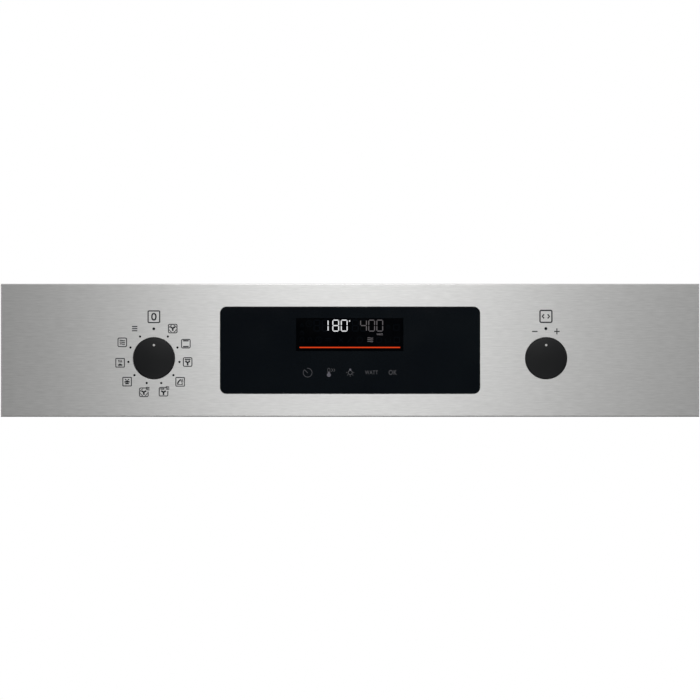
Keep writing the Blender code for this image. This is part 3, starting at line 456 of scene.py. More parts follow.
# %% Make the glass
def extruded_plate(points, front_y, back_y, edge=0.0):
    """A flat plate between two planes, with its front outline bevelled."""
    bm = bmesh.new()
    loop = add_loop(bm, points, front_y)
    cap = bmesh.ops.contextual_create(bm, geom=loop)["faces"]
    made = bmesh.ops.extrude_face_region(bm, geom=cap, use_keep_orig=True)
    bmesh.ops.translate(bm, verts=vertices_of(made), vec=(0, back_y - front_y, 0))
    bmesh.ops.recalc_face_normals(bm, faces=bm.faces)
    if edge:
        rim = [e for e in bm.edges if all(abs(v.co.y - front_y) < 1e-7 for v in e.verts)]
        round_edges(bm, rim, edge, 3)
    return bm


flange_low, flange_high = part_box("display_window")
pad_front = flange_low.y
flange_front = flange_high.y - 2.5 * mm
gap = 0.3 * mm
bm = extruded_plate(
    rounded_points(window_size[0] - 2 * gap, window_size[1] - 2 * gap, window_corner - gap),
    pad_front, flange_front + 0.1 * mm, 0.22 * mm,
)
flange_size = flange_high - flange_low
flange = extruded_plate(
    rounded_points(flange_size.x, flange_size.z, window_corner), flange_front, flange_high.y, 0.2 * mm
)
bm.from_mesh(as_mesh("flange", flange))
add_piece("window_glass", bm, "panel", glass, stands_for=["display_window"], weighted=True)
print("glass front", round((pad_front - face) / mm, 2), "mm behind the steel")

# %% [markdown]
# ## Drawing on a surface
# Symbols are strokes: a curve along the line of each one, as wide as the pen. The curve becomes a mesh and is pressed
# flat, so it lies on the surface as a thin layer of ink. Sizes are in millimetres from a centre, which keeps each
# drawing readable.

# %% Helpers for strokes and filled dots
ink_height = 0.03 * mm


def worked_mesh(holder):
    """The mesh that an object shows once its curve or its modifiers are worked in. The object itself goes."""
    bpy.context.view_layer.update()
    mesh = bpy.data.meshes.new_from_object(holder.evaluated_get(bpy.context.evaluated_depsgraph_get()))
    bpy.data.objects.remove(holder)
    mesh.materials.clear()
    return mesh


def round_lines(name, lines, diameter, roundness):
    """A mesh of round lines. lines is a list of (points, closed), with points in metres."""
    curve = bpy.data.curves.new(name, "CURVE")
    curve.dimensions = "3D"
    curve.bevel_depth = diameter / 2
    curve.bevel_resolution = roundness
    curve.use_fill_caps = True
    for points, closed in lines:
        spline = curve.splines.new("POLY")
        spline.points.add(len(points) - 1)
        for point, place in zip(spline.points, points):
            point.co = (*place, 1)
        spline.use_cyclic_u = closed
    return worked_mesh(placed(name, curve))


def strokes(name, lines, width, centre, finish, surface=face):
    """lines is a list of (points, closed), with points as (right, up) pairs in millimetres about the centre."""
    lines = [([(centre[0] + right * mm, 0, centre[1] + up * mm) for right, up in points], closed)
             for points, closed in lines]
    mesh = round_lines(name, lines, width * mm, 2)
    mesh.transform(Matrix.Translation((0, surface, 0)) @ Matrix.Diagonal((1, 2 * ink_height / (width * mm), 1, 1)))
    mesh.name = name
    return add_mesh(name, mesh, "panel", finish, sharp=60)


def dots(name, places, radius, centre, finish, surface=face):
    """Filled round spots, as shallow discs."""
    bm = bmesh.new()
    for right, up in places:
        disc = bmesh.ops.create_circle(
            bm, cap_ends=True, segments=24, radius=radius * mm,
            matrix=Matrix.Translation((centre[0] + right * mm, surface - ink_height, centre[1] + up * mm))
            @ Matrix.Rotation(math.radians(90), 4, "X"),
        )
        rim = [e for e in bm.edges if e.is_boundary and e.verts[0] in disc["verts"]]
        made = bmesh.ops.extrude_edge_only(bm, edges=rim)
        bmesh.ops.translate(bm, verts=vertices_of(made), vec=(0, 2 * ink_height, 0))
    return add_piece(name, bm, "panel", finish)


def arc(radius, start, stop, steps=14, centre=(0, 0)):
    """Points of an arc. Angles are in degrees, clockwise from the top."""
    turns = [math.radians(start + (stop - start) * step / steps) for step in range(steps + 1)]
    return [(centre[0] + radius * math.sin(t), centre[1] + radius * math.cos(t)) for t in turns]


def line(*points):
    """An open line through (right, up) pairs."""
    return list(points), False


def box_line(half, corner=0.9):
    return [(x / mm, z / mm) for x, z in rounded_points(2 * half * mm, 2 * half * mm, corner * mm, 4)], True


def moved(lines, right, up, size=1.0):
    return [([(right + x * size, up + z * size) for x, z in points], closed) for points, closed in lines]


# %% [markdown]
# ## The left dial
# Eleven dots stand round the knob at even steps. The one at the top, for off, is a little larger and further out.
# Outside the dots stand the cooking symbols: fans, heating bars, a slice, drops, a warm dish and waves, each in a
# square frame eight millimetres wide.

# %% Draw the parts that the symbols share
left_centre = (knob_places["left"].x, knob_places["left"].z)
right_centre = (knob_places["right"].x, knob_places["right"].z)
frame_half = 3.65


def fan_blades(drop=0.0, size=1.0):
    """Three blades of a hot-air fan: two up and out, one down."""
    return [line((0, drop), arc(2.5 * size, turn, turn, 1, (0, drop))[0]) for turn in (-58, 58, 180)]


def wave_lines(width, pitch, rows):
    """Rows of a shallow wave."""
    wave = line(*((width * (step / 8 - 0.5), 0.045 * width * math.sin(step / 8 * tau)) for step in range(9)))
    return [part for row in range(rows) for part in moved([wave], 0, (row - (rows - 1) / 2) * pitch)]


def heating_bar(up, half=2.3):
    """A grill element drawn as a zigzag."""
    return [line(*((half * (step / 4 - 1), up + (0.35 if step % 2 else -0.35)) for step in range(9)))]


# %% Draw the left dial's frames and symbols
symbol_places = {
    "hot_air": (15.98, 25.24), "top_bottom": (27.15, 12.37), "grill_air": (28.67, -3.2), "slice": (22.28, -20.07),
    "grill_air_wave": (8.15, -28.5), "hot_air_wave": (-8.6, -28.95), "defrost": (-22.85, -19.92),
    "warm_dish": (-28.8, -3.85), "wave": (-26.94, 13.56),
}


def at(symbol, lines):
    """Lines moved to the place of a symbol."""
    return moved(lines, *symbol_places[symbol])


outline = box_line(frame_half, 1.0)[0]
open_outline = line(*outline[4:], (frame_half, 0.6))
frames = []
for symbol in symbol_places:
    corner = 0.35 if symbol in ("slice", "defrost", "warm_dish") else 1.0
    frames += at(symbol, [open_outline if symbol.endswith("air_wave") else box_line(frame_half, corner)])
ring_arcs = [line(*arc(3.0, turn - 30, turn + 30, 8)) for turn in (45, 135, 225, 315)]
slice_shape = [line(*arc(4.6, 272, 342, 10, (2.2, -2.3))), line((0.7, 2.2), (2.0, -2.2)),
               line((-2.35, -2.15), (2.2, -2.3)), line((1.7, 2.6), (2.45, -0.4))]
steam = [line(*((right + 0.25 * math.sin(step / 6 * tau), 0.25 + 2.1 * step / 6) for step in range(7)))
         for right in (-1.15, 0, 1.15)]
thin = at("hot_air", ring_arcs) + at("hot_air_wave", ring_arcs[1:]) + at("slice", slice_shape) + at("warm_dish", steam)
strokes("left_dial_frames", frames, 0.8, left_centre, ink)
strokes("left_dial_fine_lines", thin, 0.64, left_centre, ink)
strokes("left_dial_waves", at("wave", wave_lines(4.5, 1.5, 3)), 0.82, left_centre, ink)

# %% [markdown]
# The bold strokes come last: fan blades, heating bars, the dish, the off mark and the three lines of the menu.

# %% Draw the bold strokes and the dots
fans = at("hot_air", fan_blades(0.3, 0.92)) + at("grill_air", fan_blades(-0.5, 0.95))
fans += at("grill_air_wave", fan_blades(-0.5, 0.95)) + at("hot_air_wave", fan_blades(0.0, 0.9))
bold = at("grill_air", heating_bar(2.05)) + at("grill_air_wave", moved(heating_bar(2.35, 1.6), -1.0, 0))
bold += at("top_bottom", [line((-2.4, 2.5), (2.4, 2.5)), line((-2.4, -2.5), (2.4, -2.5))])
bold += at("defrost", [line((-1.5, -1.6), (1.5, -1.6))])
bold += at("warm_dish", [line((-1.9, -1.95), (1.9, -1.95)), line((-1.0, -1.35), (1.0, -1.35))])
bold += at("slice", [line(*arc(3.6, 276, 340, 8, (1.6, -1.9)))])
small_wave = wave_lines(2.9, 1.05, 3)
menu = [line((-2.3, up), (2.3, up)) for up in (-1.8, 0, 1.8)]
oval = [(math.sin(math.radians(turn)), math.cos(math.radians(turn))) for turn in range(0, 360, 12)]
oval = [(math.copysign(abs(x) ** 0.75 * 1.72, x), z * 2.65) for x, z in oval]
for name, lines, width in (
    ("fans", fans, 1.36),
    ("bold_lines", bold, 1.14),
    ("small_waves", moved(small_wave, 11.5, -25.3) + moved(small_wave, -5.3, -25.9), 0.74),
    ("menu", moved(menu, -16.43, 25.2), 0.88),
    ("off_frame", moved([box_line(4.93, 0.75)], -0.06, 35.33), 1.0),
    ("off_mark", moved([(oval, True)], -0.06, 35.33), 1.28),
):
    strokes(f"left_dial_{name}", lines, width, left_centre, ink)
drops = [(-1.25, 1.75), (1.25, 1.75), (-1.6, -0.2), (0, 0.75), (1.6, -0.2), (0, -0.4), (-0.8, 0.1), (0.8, 0.1)]
dots("left_dial_drops", at("defrost", [line(*drops)])[0][0], 0.62, left_centre, ink)
ring_dots = [arc(21.96, turn * 360 / 11, turn * 360 / 11, 1)[0] for turn in range(1, 11)]
dots("left_dial_dots", ring_dots, 0.95, left_centre, dot_ink)
dots("left_dial_off_dot", [(-0.15, 25.05)], 1.18, left_centre, dot_ink)
print("left dial drawn")

# %% [markdown]
# ## The right dial
# The right knob sets values, so it has only a pair of arrows in a frame, one dot, and a minus and a plus.

# %% Draw the right dial
strokes("right_dial_frame", moved([box_line(5.06, 1.0)], -0.18, 35.65), 1.12, right_centre, ink)
arrows = [line((sign * 1.5, 1.75), (sign * 3.05, 0), (sign * 1.5, -1.75)) for sign in (-1, 1)]
strokes("right_dial_arrows", moved(arrows, -0.25, 35.65), 1.16, right_centre, ink)
signs = [line((-12.1, 22.83), (-7.35, 22.83)), line((6.8, 22.83), (11.5, 22.83)), line((9.14, 20.3), (9.14, 25.4))]
strokes("right_dial_signs", signs, 0.94, right_centre, ink)
dots("right_dial_dot", [(-0.3, 25.25)], 1.3, right_centre, dot_ink)

# %% [markdown]
# ## The display
# The figures are made of seven bars each, as on any oven clock. A bar is a short stroke, and a figure is the list of
# its bars that are lit. Bars that aren't lit still show faintly, through a painted glow in place of reflected light.

# %% Draw the figures
digit_width, digit_height, digit_up = 4.95, 9.3, 21.0
bars = {
    "a": ((-0.5, 1), (0.5, 1)), "b": ((0.5, 1), (0.5, 0)), "c": ((0.5, 0), (0.5, -1)), "d": ((-0.5, -1), (0.5, -1)),
    "e": ((-0.5, 0), (-0.5, -1)), "f": ((-0.5, 1), (-0.5, 0)), "g": ((-0.5, 0), (0.5, 0)),
}
bar_gap = 0.42
lit_bars = {"0": "abcdef", "1": "bc", "4": "fgbc", "8": "abcdefg", "not 1": "adefg", "not 4": "ade"}


def figures(*signs):
    """The lit bars of figures, from (sign, right) pairs. Each bar is a little short of its neighbours."""
    lines = []
    for sign, right in signs:
        for bar in lit_bars[sign]:
            start, end = (Vector((right + x * digit_width, digit_up + z * digit_height / 2)) for x, z in bars[bar])
            along = (end - start).normalized() * bar_gap
            lines.append(line(tuple(start + along), tuple(end - along)))
    return lines


screen_size = (91.4 * mm, 28.2 * mm)
screen_place = (-0.3 * mm, 13.35 * mm)
screen_points = rounded_points(*screen_size, 0.3 * mm, 3)
bm = extruded_plate([(screen_place[0] + x, screen_place[1] + z) for x, z in screen_points],
                    pad_front - 0.01 * mm, pad_front + 0.05 * mm)
add_piece("display_screen", bm, "panel", screen_black)


def on_glass(*rows):
    """Draws on the window, from rows of (how, name, lines, width, finish)."""
    for how, name, lines, width, finish in rows:
        how(name, lines, width, (0, 0), finish, pad_front)


on_glass(
    (strokes, "temperature_figures", figures(("1", -21.2), ("8", -12.16), ("0", -5.0)), 1.0, white_light),
    (dots, "degree_mark", [(-0.45, 24.9)], 0.58, white_light),
    (strokes, "power_figures", figures(("4", 11.45), ("0", 18.4), ("0", 25.3)), 0.88, dim_light),
    (strokes, "unlit_figures", figures(("8", -28.2), ("not 1", -21.2), ("8", 4.45), ("not 4", 11.45)), 1.0,
     unlit_painted_glow),
    (strokes, "orange_bar", [line((-43.0, 2.4), (42.6, 2.4))], 1.15, orange_light),
    (strokes, "microwave_mark", moved(wave_lines(4.8, 1.5, 3), 17.2, 8.95), 0.72, dim_light),
)

# %% [markdown]
# ## Letters
# Words such as WATT and OK are set as text, which Blender keeps as a font curve. It becomes a mesh and is stood
# upright, and then its place is worked into the mesh.

# %% Set the words
def set_word(name, text, height, place, finish, squeeze=1.0, spacing=1.0):
    """Capital height and place are in millimetres. The place is the word's centre."""
    curve = bpy.data.curves.new(name, "FONT")
    curve.body = text
    curve.align_x = curve.align_y = "CENTER"
    curve.size = height * mm / 0.7
    curve.offset = 0.05 * mm
    curve.space_character = spacing
    curve.extrude = ink_height
    mesh = worked_mesh(placed(name, curve))
    stand = Matrix.Rotation(math.radians(90), 4, "X")
    shift = Matrix.Translation((place[0] * mm, pad_front, place[1] * mm))
    mesh.transform(shift @ stand @ Matrix.Diagonal((squeeze, 1, 1, 1)))
    mesh.name = name
    return add_mesh(name, mesh, "panel", finish)


set_word("watt_unit", "watt", 2.15, (25.2, 13.8), dim_light, 0.95)
set_word("watt_button", "WATT", 3.2, (18.26, -19.04), symbol_light, 0.76, 1.16)
set_word("ok_button", "OK", 4.0, (36.25, -19.1), symbol_light, 0.80, 1.12)

# %% [markdown]
# The other three touch symbols are drawn: a timer with its hand, a thermometer with two chevrons, and a lamp with
# rays.

# %% Draw the touch symbols
timer = [line(*arc(3.75, -8, 315, 24)), line((0.1, -0.3), (-2.5, 2.4))]
stem = line((-0.95, -1.2), (-0.95, 2.1), (-0.5, 2.65), (0.5, 2.65), (0.95, 2.1), (0.95, -1.2))
chevrons = [line((right, 1.3), (right + 1.1, 0), (right, -1.3)) for right in (0, 1.85)]
lamp = [(arc(1.75, 0, 360, 18)[:-1], True)]
lamp += [line(arc(2.6, turn, turn, 1)[0], arc(3.4, turn, turn, 1)[0]) for turn in (90, 133, 180, 227, 270)]
on_glass(
    (strokes, "timer_symbol", moved(timer, -36.1, -19.05), 0.46, symbol_light),
    (strokes, "thermometer_stem", moved([stem], -18.05, -18.0), 0.42, symbol_light),
    (dots, "thermometer_bulb", [(-18.05, -21.0)], 1.7, bulb_light),
    (dots, "thermometer_column", [(-18.05, -19.3), (-18.05, -18.7)], 0.62, bulb_light),
    (strokes, "thermometer_chevrons", moved(chevrons, -15.8, -16.9), 0.56, symbol_light),
    (strokes, "lamp_symbol", moved(lamp, 0.15, -18.95), 0.6, symbol_light),
    (dots, "lamp_cap", [(0.15, -16.45)], 0.9, bulb_light),
)

# %% [markdown]
# Around the lit figures the display has small signs that come on in other settings: a bell, clocks, a lock, cutlery
# and trays. Unlit, they are only just there, through a faint painted glow in place of reflected light.

# %% Draw the unlit signs
ring = [(arc(1.0, 0, 360, 16)[:-1], True)]
clock = ring + [line((0, 0.6), (0, 0), (0.45, -0.3))]
bell = [([(-1, -0.8), (-0.7, -0.4), (-0.6, 0.4), (0, 1), (0.6, 0.4), (0.7, -0.4), (1, -0.8)], True)]
lock = [([(-0.8, -0.9), (-0.8, 0.1), (0.8, 0.1), (0.8, -0.9)], True), line(*arc(0.5, -90, 90, 8, (0, 0.2)))]
cutlery = [line((-0.9, -0.9), (0.9, 0.9)), line((-0.9, 0.9), (0.9, -0.9))]
slash = [line((-0.9, -1), (0.9, 1))]
tray = [line((-1, 0.5), (-0.8, -0.6), (0.8, -0.6), (1, 0.5))]
square = [box_line(1, 0.3)]
signs = []
for shape, right, up, size in (
    (clock, -35.0, 22.6, 2.6), (lock, -41.0, 21.4, 1.6), (lock, -41.0, 15.2, 1.9), (bell, -41.0, 9.1, 2.2),
    (bell, -34.2, 8.8, 2.2), (clock, -26.6, 8.7, 2.7), (wave_lines(5.6, 1.8, 2), -18.5, 9.0, 1.0),
    (cutlery, -7.8, 8.8, 2.2), (slash, -0.2, 8.8, 2.2), (ring, 8.2, 8.7, 2.5), (ring, 24.5, 8.7, 2.3),
    (tray, 32.3, 8.6, 2.4), (square, 39.8, 8.8, 2.3), (lock, 32.5, 20.3, 1.7), (square, 39.4, 19.4, 2.3),
):
    signs += moved(shape, right, up, size)
on_glass((strokes, "unlit_signs", signs, 0.6, unlit_painted_glow))
print("display and touch symbols drawn")

# %% [markdown]
# ## The knobs
# A knob is a cup turned from one profile: a face that is very slightly domed, a soft edge, a long skirt that runs in
# the housing and a hub that grips the spindle. Spinning the profile about the knob's axis makes it all at once, with
# enough steps to look round from close by.

# %% Turn the knobs
def spun(profile, x=0.0, z=0.0, steps=96):
    """Spins (radius, y) pairs about an axis along Y. A profile that starts off the axis is closed."""
    bm = bmesh.new()
    verts = [bm.verts.new((x + radius, y, z)) for radius, y in profile]
    for a, b in zip(verts, verts[1:]):
        bm.edges.new((a, b))
    if profile[0][0] > 0:
        bm.edges.new((verts[-1], verts[0]))
    bmesh.ops.spin(bm, geom=bm.verts[:] + bm.edges[:], axis=(0, 1, 0), cent=(x, 0, z), angle=tau, steps=steps,
                   use_merge=True)
    return bm


knob_radius = 17.7 * mm
knob_wall = 2 * mm
knob_edge = 1.1 * mm
knob_dome = 0.55 * mm
dome_radius = 15.6 * mm
hub_radius, bore_radius = 5.5 * mm, 3.15 * mm
skirt_end, skirt_inside = -1.0 * mm, knob_radius - knob_wall
for side, place in knob_places.items():
    front_y, back_y = (corner.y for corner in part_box(f"{side}_knob"))
    inside, fillet = front_y + 2.5 * mm, front_y + 3.3 * mm
    profile = [(dome_radius * share, front_y + knob_dome * share ** 2)
               for share in (0, 0.15, 0.3, 0.45, 0.6, 0.75, 0.88, 0.96, 1)]
    for step in range(2, 7):
        turn = step / 6 * tau / 4
        profile.append((knob_radius - knob_edge * (1 - math.sin(turn)),
                        front_y + knob_dome + knob_edge * (1 - math.cos(turn))))
    profile += [
        (knob_radius, skirt_end - 0.3 * mm), (knob_radius - 0.3 * mm, skirt_end), (skirt_inside, skirt_end),
        (skirt_inside, fillet), (skirt_inside - 0.8 * mm, inside), (hub_radius + 0.8 * mm, inside),
        (hub_radius, fillet), (hub_radius, back_y), (bore_radius, back_y), (bore_radius, inside), (0, inside),
    ]
    add_piece(f"{side}_knob_cap", spun(profile, place.x, place.z), f"{side}_grip", knob_black,
              stands_for=[f"{side}_knob"], sharp=30)

# %% [markdown]
# The white dot that points at the dial is a small pin moulded through the face. Its end is slightly domed and
# stands level with the knob's face.

# %% Make the pointers
pin_radius = 1.15 * mm
for side, place in knob_places.items():
    low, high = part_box(f"{side}_pointer")
    pin = middle(f"{side}_pointer")
    dip = knob_dome * ((pin.z - place.z) / dome_radius) ** 2
    profile = [(0, low.y + dip - 0.1 * mm), (0.7 * mm, low.y + dip - 0.07 * mm),
               (pin_radius, low.y + dip + 0.05 * mm), (pin_radius, high.y), (0, high.y)]
    add_piece(f"{side}_knob_dot", spun(profile, pin.x, pin.z, 32), f"{side}_grip", pointer_white,
              stands_for=[f"{side}_pointer"], sharp=30)
print("knobs turned")

# %% [markdown]
# ## Softer edges for the CAD pieces
# A moulded or punched piece never has perfectly sharp edges, and the light on its small rounded edges makes it look
# real. This helper copies a solid, welds its loose triangles, merges the flat ones and bevels every edge sharper than
# forty degrees. The copy then stands for the solid.

# %% Helper that softens a solid's edges
def softened(node, body, width, finish):
    bm = bmesh.new()
    bm.from_mesh(nodes[node].data)
    bmesh.ops.remove_doubles(bm, verts=bm.verts, dist=0.002 * mm)
    bmesh.ops.dissolve_limit(bm, angle_limit=math.radians(0.6), verts=bm.verts[:], edges=bm.edges[:])
    edges = [e for e in bm.edges if e.is_manifold and e.calc_face_angle(0) > math.radians(40)]
    round_edges(bm, edges, width * mm, offset_type="OFFSET", clamp_overlap=True)
    return add_piece(f"{node}_finished", bm, body, finish, stands_for=[node], clean=False, weighted=True)


# %% [markdown]
# ## The back of the panel
# Seen from behind, the ribbed carrier fills the tray of the front, the grey cover stands over the control board, and
# the two knob housings come through the carrier. The brackets at the ends are zinc-plated steel.

# %% Finish the mouldings and brackets
for node, width, finish in (
    ("carrier", 0.3, carrier_black), ("electronics_cover", 0.45, cover_grey), ("left_bracket", 0.25, zinc),
    ("right_bracket", 0.25, zinc), ("earth_tab", 0.12, tinned_brass), ("supply_socket", 0.3, socket_white),
    ("left_knob_housing", 0.3, carrier_black), ("right_knob_housing", 0.3, carrier_black),
    ("control_board", 0.12, board_green), ("left_encoder_board", 0.12, board_green),
    ("right_encoder_board", 0.12, board_green), ("left_encoder", 0.25, ground_steel),
    ("right_encoder", 0.25, ground_steel), ("processor", 0.15, chip_black), ("display_module", 0.3, chip_black),
    ("top_seal", 0.5, seal_foam), ("buzzer", 0.3, chip_black), ("capacitor", 0.5, aluminium),
):
    softened(node, "panel", width, finish)
for side in ("left", "right"):
    for node in ("main_socket", "main_plug", "board_socket", "encoder_plug"):
        softened(f"{side}_{node}", "panel", 0.3, socket_white)
    softened(f"{side}_latch", f"{side}_shaft", 0.12, latch_white)
    softened(f"{side}_spindle", f"{side}_shaft", 0.2, ground_steel)
for node in ("window_tape", *(f"touch_pad_{number}" for number in range(1, 6))):
    nodes[node].data.materials.clear()
    nodes[node].data.materials.append(tape_black)

# %% [markdown]
# ## Screws
# Twelve small pan-head screws hold the cover, the brackets and the encoder boards. One is turned, given a cross
# recess with a Boolean, and then copied to each place. They are all driven from behind.

# %% Make one screw and copy it
def block(bm, place, size):
    bmesh.ops.create_cube(bm, size=1, matrix=Matrix.Translation(place) @ Matrix.Diagonal((*size, 1)))


head_height = 2.2 * mm
screw_profile = [(0, -9.4), (0.25, -9.3), (1.45, -7.6), (1.45, 0), (3.0, 0), (3.0, 0.9), (2.7, 1.6), (1.9, 2.1),
                 (0, 2.2)]
bm = spun([(radius * mm, y * mm) for radius, y in screw_profile], steps=32)
weld(bm)
screw = placed("screw", as_mesh("screw", bm))
bm = bmesh.new()
for wide, high in ((3.4, 0.62), (0.62, 3.4)):
    block(bm, (0, head_height, 0), (wide * mm, 2.4 * mm, high * mm))
cross = placed("cross", as_mesh("cross", bm))
recess = screw.modifiers.new("recess", "BOOLEAN")
recess.object = cross
recess.use_self = True
pattern = worked_mesh(screw)
bpy.data.objects.remove(cross)
screw_nodes = [name for name in nodes if "screw" in name]
for node in screw_nodes:
    mesh = pattern.copy()
    place = middle(node)
    mesh.transform(Matrix.Translation((place.x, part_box(node)[1].y - head_height, place.z))
                   @ Matrix.Rotation(random.Random(node).uniform(0, 1.5), 4, "Y"))
    add_mesh(f"{node}_finished", mesh, "panel", zinc, stands_for=[node], sharp=30)
print(len(screw_nodes), "screws")

# %% [markdown]
# ## Springs
# Each knob has a coil spring between its spindle and its face. The wire is a curve along a helix, with closed end
# turns as a real spring has, so that it stands square.

# %% Coil the springs
def wire(name, points, diameter, body, finish, stands_for=()):
    """A round wire through points."""
    bm = bmesh.new()
    bm.from_mesh(round_lines(name, [(points, False)], diameter, 3))
    return add_piece(name, bm, body, finish, stands_for=stands_for, sharp=50)


turns, coil_radius, coil_wire = 7, 8.6 * mm, 0.9 * mm
for side, place in knob_places.items():
    low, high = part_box(f"{side}_spring")
    first, last = high.y - coil_wire / 2, low.y + coil_wire / 2
    points = []
    for step in range(turns * 28 + 1):
        share = step / (turns * 28)
        angle = share * turns * tau
        ease = min(1, max(0, (share * turns - 0.8) / (turns - 1.6)))
        rise = first + (last - first) * ease
        points.append((place.x + coil_radius * math.cos(angle), rise, place.z + coil_radius * math.sin(angle)))
    wire(f"{side}_coil_spring", points, coil_wire, f"{side}_shaft", ground_steel, [f"{side}_spring"])

# %% [markdown]
# ## Leads
# A lead of four thin wires joins each encoder board to the control board. The wires leave one plug together, arch
# over the edge of the cover and dive into the other plug. One smooth route is worked out, and each wire follows it at
# its own place in the bundle, with a slow twist.

# %% Route and lay the wires
def smooth_route(points, per_span=10):
    """Points on a Catmull-Rom curve through the route's own points."""
    route = [Vector(p) for p in points]
    ends = [2 * route[0] - route[1], *route, 2 * route[-1] - route[-2]]
    made = []
    for before, start, stop, after in zip(ends, ends[1:], ends[2:], ends[3:]):
        for step in range(per_span):
            t = step / per_span
            made.append(0.5 * (2 * start + (stop - before) * t + (2 * before - 5 * start + 4 * stop - after) * t * t
                               + (3 * start - before - 3 * stop + after) * t ** 3))
    return [*made, route[-1]]


lead_wire, bundle_radius = 1.5 * mm, 1.08 * mm
for side, sign in (("left", -1), ("right", 1)):
    start, end = middle(f"{side}_encoder_plug"), middle(f"{side}_main_plug")
    start.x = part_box(f"{side}_encoder_plug")[0 if sign > 0 else 1].x
    end.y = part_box(f"{side}_main_plug")[1].y
    out = Vector((-sign, 0, 0))
    route = smooth_route([
        start - out * 1.5 * mm, start + out * 2.3 * mm, start.lerp(end, 0.55) + Vector((0, 5.3, -2)) * mm,
        end + Vector((sign * 3, 6.8, -1.3)) * mm, end + Vector((0, 2.6, 0)) * mm, end - Vector((0, 1.5, 0)) * mm,
    ])
    for number, finish in enumerate(wire_finishes):
        points = []
        for step, point in enumerate(route):
            ahead = (route[min(step + 1, len(route) - 1)] - route[max(step - 1, 0)]).normalized()
            across_way = ahead.cross(Vector((0, 0, 1))).normalized()
            up_way = across_way.cross(ahead).normalized()
            angle = number * tau / 4 + 0.8 + step * 0.05
            points.append(point + (across_way * math.cos(angle) + up_way * math.sin(angle)) * bundle_radius)
        stands_for = [f"{side}_lead"] if number == 0 else ()
        wire(f"{side}_wire_{number + 1}", points, lead_wire, "panel", finish, stands_for)
print("leads laid")

# %% [markdown]
# ## Small parts on the encoder boards
# The back of each encoder board shows the solder joints of the encoder, a few chip resistors and capacitors, and the
# tracks that lead to the socket.

# %% Dress the encoder boards
chip_length, chip_height, chip_width = 2.0 * mm, 0.6 * mm, 1.25 * mm


def chips(name, places, surface, finish):
    """Chip parts lying on a board that faces +Y: a body, and a solder cap at each end."""
    body, caps = bmesh.new(), bmesh.new()
    for x, z in places:
        block(body, (x, surface + chip_height / 2, z), (chip_length * 0.62, chip_height, chip_width))
        for end in (-1, 1):
            block(caps, (x + end * chip_length * 0.4, surface + chip_height / 2, z),
                  (chip_length * 0.2, chip_height * 1.06, chip_width * 1.04))
    for bm in (body, caps):
        round_edges(bm, bm.edges[:], 0.08 * mm)
    add_piece(f"{name}_bodies", body, "panel", finish, clean=False)
    add_piece(f"{name}_ends", caps, "panel", solder, clean=False)


def joints(name, places, surface):
    """Solder joints: low domes with a pin's end in each."""
    bm = bmesh.new()
    for x, z in places:
        bmesh.ops.create_uvsphere(bm, u_segments=16, v_segments=8, radius=0.75 * mm,
                                  matrix=Matrix.Translation((x, surface, z)) @ Matrix.Diagonal((1, 0.55, 1, 1)))
        bmesh.ops.create_cone(bm, cap_ends=True, segments=12, radius1=0.32 * mm, radius2=0.26 * mm, depth=1.6 * mm,
                              matrix=Matrix.Translation((x, surface + 0.3 * mm, z))
                              @ Matrix.Rotation(math.radians(-90), 4, "X"))
    add_piece(name, bm, "panel", solder, clean=False)


for side, sign in (("left", -1), ("right", 1)):
    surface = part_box(f"{side}_encoder_board")[1].y
    mid = middle(f"{side}_encoder_board")
    socket = middle(f"{side}_board_socket")
    pins = [(mid.x + x * mm, mid.z + z * mm) for x, z in ((-2.5, -5.6), (0, -5.6), (2.5, -5.6), (-6.4, 1), (6.4, 1))]
    joints(f"{side}_encoder_joints", pins, surface)
    parts = [(mid.x + sign * x * mm, mid.z + z * mm) for x, z in ((5, -11), (9, -11), (9, -8), (14, -10))]
    chips(f"{side}_board_resistors", parts, surface, chip_black)
    parts = [(mid.x + sign * x * mm, mid.z + z * mm) for x, z in ((14, -6.5), (5, -8.2))]
    chips(f"{side}_board_capacitors", parts, surface, ceramic_tan)
    lines = []
    for number, (pin, row) in enumerate(zip(pins[:3], (3.0, 0.0, -3.0))):
        start = ((pin[0] - mid.x) / mm, (pin[1] - mid.z) / mm)
        goal = ((socket.x - mid.x) / mm + sign * 4.2, (socket.z - mid.z) / mm + row)
        knee = (goal[0] + sign * (2.2 + number * 1.1), goal[1])
        lines.append(line(start, (knee[0], start[1] - abs(knee[0] - start[0]) * 0.12), knee, goal))
    lines.append(line((17 * sign, 6), (17 * sign, -9), (14.5 * sign, -12.5), (4 * sign, -12.8)))
    lines.append(line((-10 * sign, 2.2), (-3.5 * sign, 5.5), (2 * sign, 5.5), (6.4, 1)))
    strokes(f"{side}_board_tracks", lines, 0.6, (mid.x, mid.z), track_green, surface)
print("encoder boards dressed")

# %% [markdown]
# ## Inside the sockets
# A plug is a block with a row of dark wells where its contacts are pressed in, and the supply socket has a row of
# flat blades standing in its mouth.

# %% Blades and contact wells
low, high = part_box("supply_socket")
bm = bmesh.new()
blade_pitch = 6.2 * mm
for number in range(6):
    x = (low.x + high.x) / 2 + (number - 2.5) * blade_pitch
    block(bm, (x, low.y + 9.2 * mm, (low.z + high.z) / 2), (0.8 * mm, 12 * mm, 5.0 * mm))
round_edges(bm, bm.edges[:], 0.2 * mm)
add_piece("supply_blades", bm, "panel", tinned_brass, clean=False)
for side in ("left", "right"):
    low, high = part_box(f"{side}_main_plug")
    bm = bmesh.new()
    for number in range(5):
        z = (low.z + high.z) / 2 + (number - 2) * 2.4 * mm
        for end in (low.x, high.x):
            block(bm, (end, high.y - 3.0 * mm, z), (0.25 * mm, 2.4 * mm, 1.1 * mm))
    add_piece(f"{side}_plug_windows", bm, "panel", chip_black, clean=False)
print("sockets filled")

